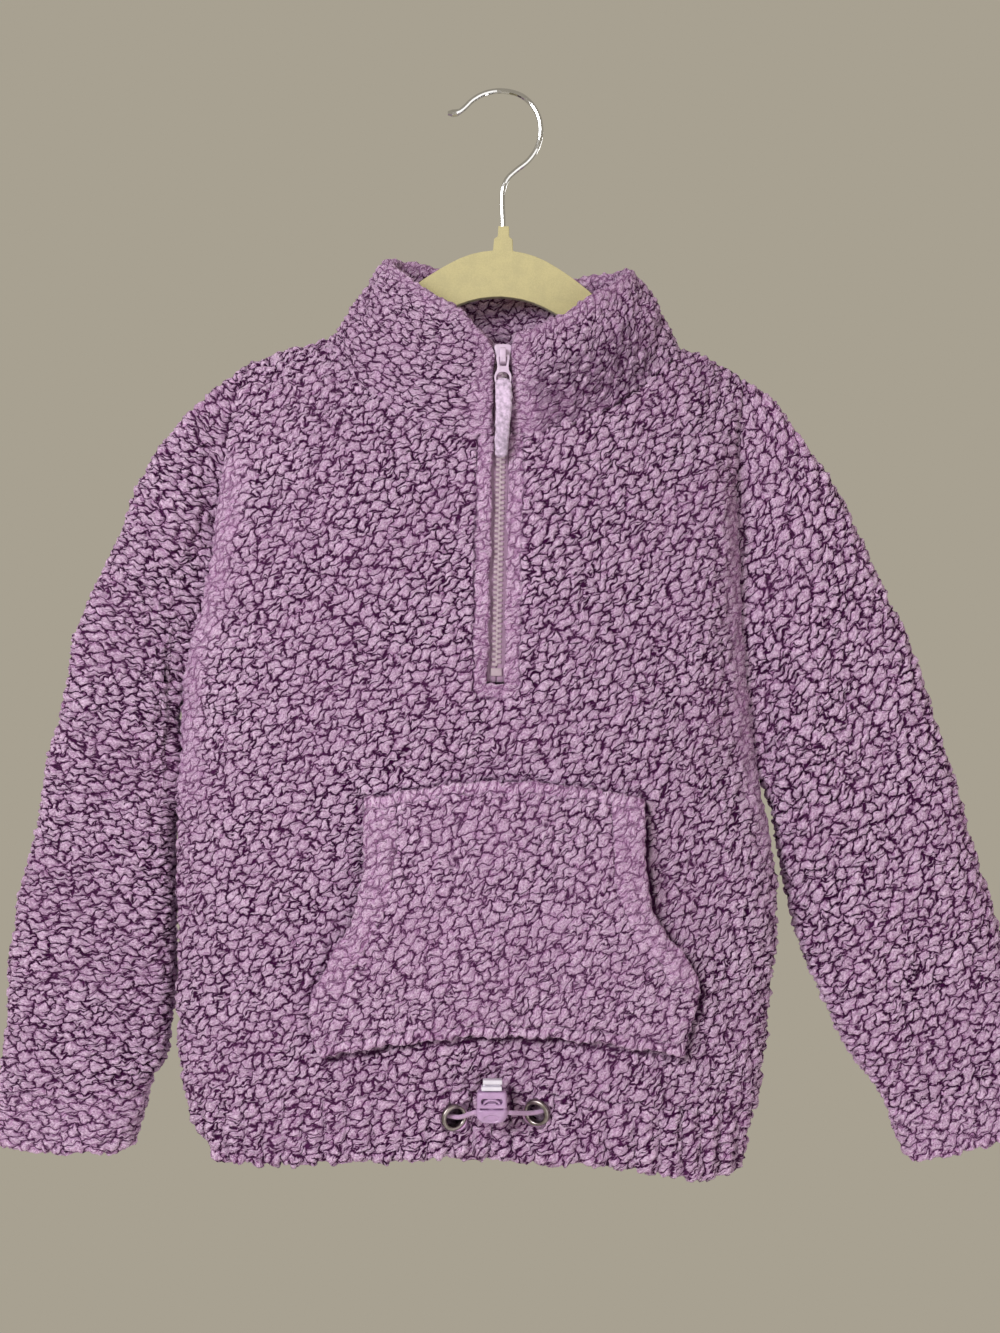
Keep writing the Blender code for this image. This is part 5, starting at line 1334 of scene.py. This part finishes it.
def placed(ob, body, nodes, slot, finish=None, sharp=None):
    """Gives a hard piece its body and its finish, and hides the nodes that it stands for."""
    ob.data.materials.clear()
    ob.data.materials.append(FINISH[finish or slot])
    ob.data.shade_smooth()
    if sharp:
        ob.data.set_sharp_from_angle(angle=math.radians(sharp))
    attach(ob, body)
    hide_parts(*nodes)
    return ob


# ---- Zip ----


def zip_point(z):
    """Middle of the zip at a height, at the middle of the cloth wall."""
    x = from_table(z, ZIP_LINE)
    neck = FRONT_NECK[4][1]
    y = panel_y(x, np.minimum(z, neck), True)
    y_neck = panel_y(from_table(neck, ZIP_LINE), np.array(float(neck)), True)
    top_y, top_z_at = COLLAR_TOP[0][2], COLLAR_TOP[0][3]
    rise = np.clip((z - neck) / (top_z_at - neck), 0, 1.1)
    return np.stack([x, np.where(z > neck, y_neck + (top_y - y_neck) * rise, y), z], axis=-1)


def make_teeth():
    """Moulded teeth of both sides, meshed with each other."""
    near, far = CHAIN_FACES
    sides = [
        block((-0.6, near, -0.95), (CHAIN_HALF - 0.5, far, 0.95), 0.5, 2),
        block((0.5 - CHAIN_HALF, near, -0.95), (0.6, far, 0.95), 0.5, 2),
    ]
    blocks = []
    z, side = CHAIN_TOP_Z - 0.8, 0
    while z > CHAIN_BOTTOM_Z + 0.7:
        points, faces = sides[side]
        blocks.append((points + zip_point(float(z)), faces))
        z, side = z - TOOTH_PITCH / 2, 1 - side
    placed(gathered_blocks("zip_teeth", blocks), BODY, ["zip_chain"], "zip_plastic", "chain_plastic")
    for name, side, reach in (("zip_edge_left", -1, 3.5), ("zip_edge_right", 1, 4.3)):
        heights = np.linspace(CHAIN_TOP_Z, CHAIN_BOTTOM_Z - 8, 60)
        x0, x1 = sorted((side * 0.2, side * reach))
        section = [(x0, 2.9), (x0 + 0.4, 2.6), (x1 - 0.4, 2.6), (x1, 2.9), (x1, 3.3), (x0, 3.3)]
        points = np.concatenate([zip_point(float(z)) + [[x, y, 0] for x, y in section] for z in heights])
        edge = mesh_object(name, points, tube_faces(len(heights), len(section)))
        placed(edge, BODY, ["zip_chain"], "zip_tape")
    low = zip_point(STOP_Z[1]) + [-STOP_HALF, near, 0]
    high = zip_point(STOP_Z[0]) + [STOP_HALF, far, 0]
    low[1], high[1] = sorted((low[1], high[1]))
    stop = gathered_blocks("zip_stop_block", [block(low, high, 0.5)])
    placed(stop, BODY, ["zip_stop"], "zip_plastic", "chain_plastic")


def crown_axis():
    x, y, z = zip_point(CROWN_AXIS_Z)
    return np.array([x, y + SLIDER_FACES[0] - CROWN_AXIS_OUT, z])


def make_slider():
    """The slider's shield and the crown on its face that holds the link."""
    x, y, _ = zip_point(SLIDER_TOP_Z - SLIDER_LENGTH / 2)
    outline = mirrored([
        (1.0, 0.1), (3.4, 0.0), (4.5, -0.6), (4.7, -2.0), (4.2, -5.2), (3.5, -8.4), (3.1, -10.8),
        (2.9, -12.1), (2.3, -12.6),
    ])
    middle = y + sum(SLIDER_FACES) / 2
    half = (SLIDER_FACES[1] - SLIDER_FACES[0]) / 2
    facing = axes((1, 0, 0), (0, 0, 1), (0, -1, 0), (x, middle, SLIDER_TOP_Z))
    shield = plate("shield", [outline], half, facing, 0.6)
    hole, thick = CROWN_HOLE_HALF, CROWN_THICKNESS
    top, bottom = CROWN_ENDS
    out = hole + thick * 0.7
    arch = [
        (-CROWN_AXIS_OUT - CROWN_SINK, bottom), (0.2, bottom), (out - 0.3, bottom + 1.0), (out, bottom + 2.2),
        (out, top - 1.8), (out - 0.4, top - 0.6), (0.6, top), (-CROWN_AXIS_OUT - CROWN_SINK, top),
        (-CROWN_AXIS_OUT - CROWN_SINK, hole), (hole * 0.4, hole), (hole, hole * 0.5),
        (hole, -hole * 0.5), (hole * 0.4, -hole), (-CROWN_AXIS_OUT - CROWN_SINK, -hole),
    ]
    sideways = axes((0, -1, 0), (0, 0, 1), (-1, 0, 0), crown_axis())
    crown = plate("crown", [arch], 1.55, sideways, 0.35)
    placed(joined("zip_slider_body", [shield, crown]), BODY, ["zip_slider"], "zip_plastic", sharp=40)


def make_pull():
    """The link that hangs on the crown, and the strap of fleece through its slot."""
    lean = Matrix.Rotation(-PULL_LEAN, 4, "X")
    hung = Matrix.Translation(Vector(crown_axis()) * MM) @ lean
    facing = hung @ axes((1, 0, 0), (0, 0, 1), (0, -1, 0), (0, 0, 0))
    loops = [mirrored(LINK_OUTLINE), mirrored(LINK_WINDOW), mirrored(LINK_SLOT)]
    link = plate("zip_link", loops, LINK_HALF_THICKNESS, facing, 0.22)
    placed(link, PULL, ["zip_pull_link"], "zip_plastic", sharp=50)
    rings, around = 110, 40
    way = np.linspace(0, 1, rings)
    z = STRAP_TOP + (STRAP_BOTTOM - STRAP_TOP) * way
    widths = np.interp(way, *np.array(STRAP_WIDTHS).T)
    angle = np.linspace(0, 2 * math.pi, around, endpoint=False)
    cap = np.sqrt(np.clip(np.minimum(way / 0.035, (1 - way) / 0.03), 0.02, 1))
    across_it = np.sign(np.cos(angle)) * np.abs(np.cos(angle)) ** 0.7
    deep = np.sign(np.sin(angle)) * np.abs(np.sin(angle)) ** 0.8
    pick = np.random.default_rng(SEEDS["strap"])
    coarse = pick.normal(0, 1, (rings // 3 + 2, around // 3 + 2))
    fuzz = resized(coarse, rings, around) * 0.16 + pick.normal(0, 0.07, (rings, around))
    size = 1 + fuzz / 3.2
    sway = 0.5 * np.sin(way * 5.2) - 0.35 * way
    points = np.stack([
        sway[:, None] + across_it * (widths * cap)[:, None] * size,
        deep * STRAP_HALF_THICKNESS * cap[:, None] * size,
        z[:, None] + fuzz * 0.3,
    ], axis=-1)
    strap = mesh_object("zip_strap", points.reshape(-1, 3), tube_faces(rings, around))
    strap.data.transform(hung)
    placed(strap, PULL, ["zip_pull_strap"], "strap_fleece")


def resized(field, rows, columns):
    """A coarse field drawn out to a finer one."""
    r, c = np.linspace(0, field.shape[0] - 1, rows), np.linspace(0, field.shape[1] - 1, columns)
    half = np.array([np.interp(c, np.arange(field.shape[1]), row) for row in field])
    return np.array([np.interp(r, np.arange(field.shape[0]), row) for row in half.T]).T


# ---- Eyelets, cord and toggle ----


def eyelet_frame(x, z):
    """Centre of an eyelet, its axis towards the outside and the way across it to the toggle."""
    centre = front_points(np.array(float(x)), np.array(float(z)))
    normal = front_normals(np.array(float(x)), np.array(float(z)))
    side = 1.0 if x < TOGGLE_X else -1.0
    across_it = unit(np.cross([0, 0, 1.0], normal) * side)
    across_it = across_it if across_it[0] * side > 0 else -across_it
    lean = EYELET_TURN - math.asin(abs(float(normal[0])))
    axis = unit(normal * math.cos(lean) + across_it * math.sin(lean))
    return centre, axis, unit(across_it - axis * float(across_it @ axis))


def make_eyelets():
    hole, r, half = EYELET_HOLE, EYELET_RADIUS, EYELET_HALF_THICKNESS
    profile = [
        (hole, -half * 0.9), (hole, 0), (hole, half * 0.45), (hole + 0.15, half * 0.72),
        (hole + 0.45, half * 0.92), (hole + 0.9, half), (r - 1.0, half), (r - 0.5, half * 0.9),
        (r - 0.15, half * 0.66), (r, half * 0.3), (r, -half * 0.3), (r - 0.3, -half * 0.8),
        (r - 0.9, -half), (hole + 0.6, -half),
    ]
    segments, count = 72, len(profile)
    for node, x, z in EYELETS:
        centre, axis, way = eyelet_frame(x, z)
        up = np.cross(axis, way)
        angles = np.linspace(0, 2 * math.pi, segments, endpoint=False)
        spokes = way * np.cos(angles)[:, None] + up * np.sin(angles)[:, None]
        points = [centre + spoke * radius + axis * height for spoke in spokes for radius, height in profile]
        faces = []
        for k in range(segments):
            m = (k + 1) % segments
            for i in range(count):
                j = (i + 1) % count
                faces.append((k * count + i, k * count + j, m * count + j, m * count + i))
        ring = mesh_object(node + "_ring", points, faces)
        placed(ring, BODY, [node], "eyelet_metal")


def make_cord():
    """The elastic through the hem's tunnel, the eyelets and the toggle, one closed loop."""
    (cl, al, tl), (cr, ar, tr) = (eyelet_frame(x, z) for _, x, z in EYELETS)
    toggle = np.array([TOGGLE_X, TOGGLE_Y, CORD_HOLE_Z])
    reach = np.array([TOGGLE_WIDTH / 2, 0, 1.4])
    lower = np.array([1, 1, -1])

    def through(centre, axis, way):
        steps = ((2.6, 2.1), (-1.2, -2.0), (-5.4, -6.4))
        return [centre + way * along + axis * out for along, out in steps]

    def run(front, line):
        points = []
        for x, z in line:
            y = float(panel_y(np.array(float(x)), np.array(float(z)), front))
            points.append(np.array([x, y + (1 if front else -1) * HEM_FOLD_RADIUS, z]))
        return points

    points = [toggle - reach, toggle - reach * [1.2, 1, 1.3], *through(cl, al, tl)]
    points += run(True, CORD_LEFT) + run(False, CORD_BACK) + run(True, CORD_RIGHT)
    points += [*reversed(through(cr, ar, tr)), toggle + reach * lower * [1.2, 1, 1.3], toggle + reach * lower]
    curve = bpy.data.curves.new("hem_elastic", "CURVE")
    curve.dimensions = "3D"
    curve.bevel_depth = CORD_RADIUS * MM
    curve.bevel_resolution = 4
    points = np.stack(points)
    for _ in range(3):
        after = np.roll(points, -1, axis=0)
        points = np.stack([points * 0.75 + after * 0.25, points * 0.25 + after * 0.75], axis=1).reshape(-1, 3)
    spline = curve.splines.new("POLY")
    spline.points.add(len(points) - 1)
    for point, at in zip(spline.points, points):
        point.co = (*(at * MM), 1)
    spline.use_cyclic_u = True
    placed(from_curve(curve), BODY, ["hem_cord"], "cord")


def make_toggle():
    """The toggle: a narrower upper part, a rounded barrel and their slots, and the plunger in its top."""
    around, rings = 144, 110
    z0, z1 = TOGGLE_Z
    z = np.linspace(z0, z1, rings)
    stations = [row[0] for row in TOGGLE_BODY]
    wide, deep = (np.interp(z, stations, column(TOGGLE_BODY, k)) for k in (1, 2))
    angle = np.linspace(0, 2 * math.pi, around, endpoint=False) + math.pi / 2
    # Rounder below the groove, squarer above it
    bulk = (0.62 - 0.2 * ease(-556.0, -552.5, z))[:, None]
    x = np.sign(np.cos(angle)) * np.abs(np.cos(angle)) ** bulk * wide[:, None]
    y = -np.sign(np.sin(angle)) * np.abs(np.sin(angle)) ** bulk * deep[:, None]
    zz = np.broadcast_to(z[:, None], x.shape)
    # What is pressed into its broad faces
    face = (y < -0.6 * deep[:, None]) | (y > 0.6 * deep[:, None])
    window = ease(1.0, 0.75, np.hypot(np.maximum(np.abs(x) - 4.0, 0) / 1.8, (zz - TOGGLE_WINDOW_Z) / 1.8))
    bar = ease(1.1, 0.7, np.abs(zz - TOGGLE_BAR_Z + 2.2 * (x / 4.4) ** 2)) * ease(4.9, 4.3, np.abs(x))
    below = ease(0.0, 0.5, TOGGLE_LIP_Z - 2.0 * (x / 3.6) ** 2 - zz) * ease(3.8, 3.2, np.abs(x))
    slot = ease(0.6, 0.2, np.abs(zz - TOGGLE_SLOT_Z)) * ease(6.3, 5.8, np.abs(x))
    slot = slot * (0.25 + 0.75 * ease(1.4, 2.4, np.abs(x)))
    oval = ease(1.1, 0.85, np.hypot(x / 4.3, (zz - TOGGLE_OVAL_Z) / 2.1))
    press = (window * (3.6 - 3.3 * np.maximum(bar, below)) + 3.0 * slot + 0.6 * oval) * face
    y = y - np.sign(y) * press
    points = np.stack([x + TOGGLE_X, y + TOGGLE_Y, zz], axis=-1)
    barrel = mesh_object("toggle_barrel", points.reshape(-1, 3)[::-1], tube_faces(rings, around))
    placed(barrel, BODY, ["toggle_body"], "toggle_plastic", sharp=60)
    x, y, half, deep = TOGGLE_X, TOGGLE_Y, BUTTON_WIDTH / 2, BUTTON_DEPTH / 2
    top = BUTTON_TOP_Z
    blocks = [  # the thumb's cap, the rib under it and the stem that slides in the barrel
        block((x - half + 0.8, y - deep + 0.3, top - 2.3), (x + half, y + deep - 0.3, top), 0.4),
        block((x - half, y - deep, top - 5.6), (x + half - 0.2, y + deep, top - 3.5), 0.4),
        block((x - half + 0.9, y - deep + 2.6, top - 12.0), (x + half - 0.9, y + deep - 1.9, top - 1.0), 0.2),
    ]
    placed(gathered_blocks("toggle_plunger_cap", blocks), PLUNGER, ["toggle_button"], "button_plastic")


# ---- Hanger ----


def dress_frame():
    """Better finishes on the CAD nodes that stay."""
    for node, finish in (
        ("hanger", "flocked_plastic"), ("hanger_hook", "chrome"), ("zip_tape_left", "zip_tape"),
        ("zip_tape_right", "zip_tape"),
    ):
        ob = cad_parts[node]
        for held in ob.material_slots:
            held.material = FINISH[finish]


# ---- Stage ----

CAMERA = {"place": (0.0017, -0.90, -0.3206), "lens": 43.4}  # metres and millimetres
SKY = {"Color": (0.87, 0.79, 0.63, 1), "Strength": 0.45}  # warm, as the wall in the photograph
LIGHTS = [  # name, place and size in metres, power in watts
    ("key", (-0.95, -1.4, 0.3), 0.8, 29), ("fill", (0.8, -1.6, -0.7), 1.6, 10),
    ("rim", (0.5, 1.4, 0.7), 1.0, 18),
]
LIGHTS_AIM = (0, 0, -0.33)
FLOOR_Z, FLOOR_HALF = -1.0, 0.6


def make_stage():
    scene = bpy.context.scene
    camera = linked(bpy.data.objects.new("camera", bpy.data.cameras.new("camera")))
    camera.location = CAMERA["place"]
    camera.rotation_euler = (math.radians(90), 0, 0)
    camera.data.lens = CAMERA["lens"]
    camera.data.sensor_width = 36
    scene.camera = camera
    world = bpy.data.worlds.new("studio")
    scene.world = world
    world.use_nodes = True
    sky = world.node_tree.nodes["Background"]
    for key, value in SKY.items():
        sky.inputs[key].default_value = value
    for name, place, size, power in LIGHTS:
        light = linked(bpy.data.objects.new(name, bpy.data.lights.new(name, "AREA")))
        light.data.size = size
        light.data.energy = power
        light.location = place
        aim = Vector(LIGHTS_AIM) - Vector(place)
        light.rotation_euler = aim.to_track_quat("-Z", "Y").to_euler()
    mesh = bpy.data.meshes.new("floor")
    work = bmesh.new()
    level = Matrix.Translation((0, 0, FLOOR_Z))
    bmesh.ops.create_grid(work, x_segments=1, y_segments=1, size=FLOOR_HALF, matrix=level)
    work.to_mesh(mesh)
    work.free()
    floor = linked(bpy.data.objects.new("floor", mesh))
    pale, _, shader = material("floor")
    shader.inputs["Base Color"].default_value = srgb(226, 224, 220)
    shader.inputs["Roughness"].default_value = 0.9
    mesh.materials.append(pale)
    scene.view_settings.view_transform = "Standard"


make_stage()
RELIEF = relief_tree()
FINISH = {
    "fleece": fleece_material(),
    "zip_tape": woven_material("zip_tape", srgb(187, 157, 184), srgb(140, 105, 136), 0.9, 0.7),
    "zip_plastic": solid_material("zip_plastic", srgb(200, 178, 204), 0.42, 400, 0.05, 0.1, 0.05),
    "chain_plastic": solid_material("chain_plastic", srgb(170, 150, 162), 0.42, 400, 0.05, 0.1, 0.05),
    "strap_fleece": solid_material("strap_fleece", srgb(198, 176, 204), 0.95, 420, 0.22, 0.9, 0.5, sheen=0.5),
    # Grey of antique nickel, tinted pink as a painted reflection of the cloth
    "eyelet_metal": solid_material(
        "eyelet_metal", srgb(150, 141, 140), 0.28, 500, 0.12, 0.08, 0.04, metallic=1.0,
    ),
    "cord": woven_material("cord", srgb(212, 180, 214), srgb(164, 128, 168), 0.8, 0.6),
    "toggle_plastic": solid_material("toggle_plastic", srgb(177, 144, 184), 0.24, 350, 0.05, 0.08, 0.05),
    "button_plastic": solid_material("button_plastic", srgb(216, 210, 224), 0.14, 350, 0.04, 0.05, 0.04),
    "flocked_plastic": solid_material(
        "flocked_plastic", srgb(184, 174, 131), 0.95, 1500, 0.045, 0.5, 0.12, sheen=0.25,
    ),
    "chrome": solid_material("chrome", srgb(214, 214, 216), 0.1, 260, 0.04, 0.03, 0.03, metallic=1.0),
}
make_panel(True)
make_panel(False)
make_sleeve(False)
make_sleeve(True)
make_collar()
make_pocket()
make_teeth()
make_slider()
make_pull()
make_eyelets()
make_cord()
make_toggle()
dress_frame()
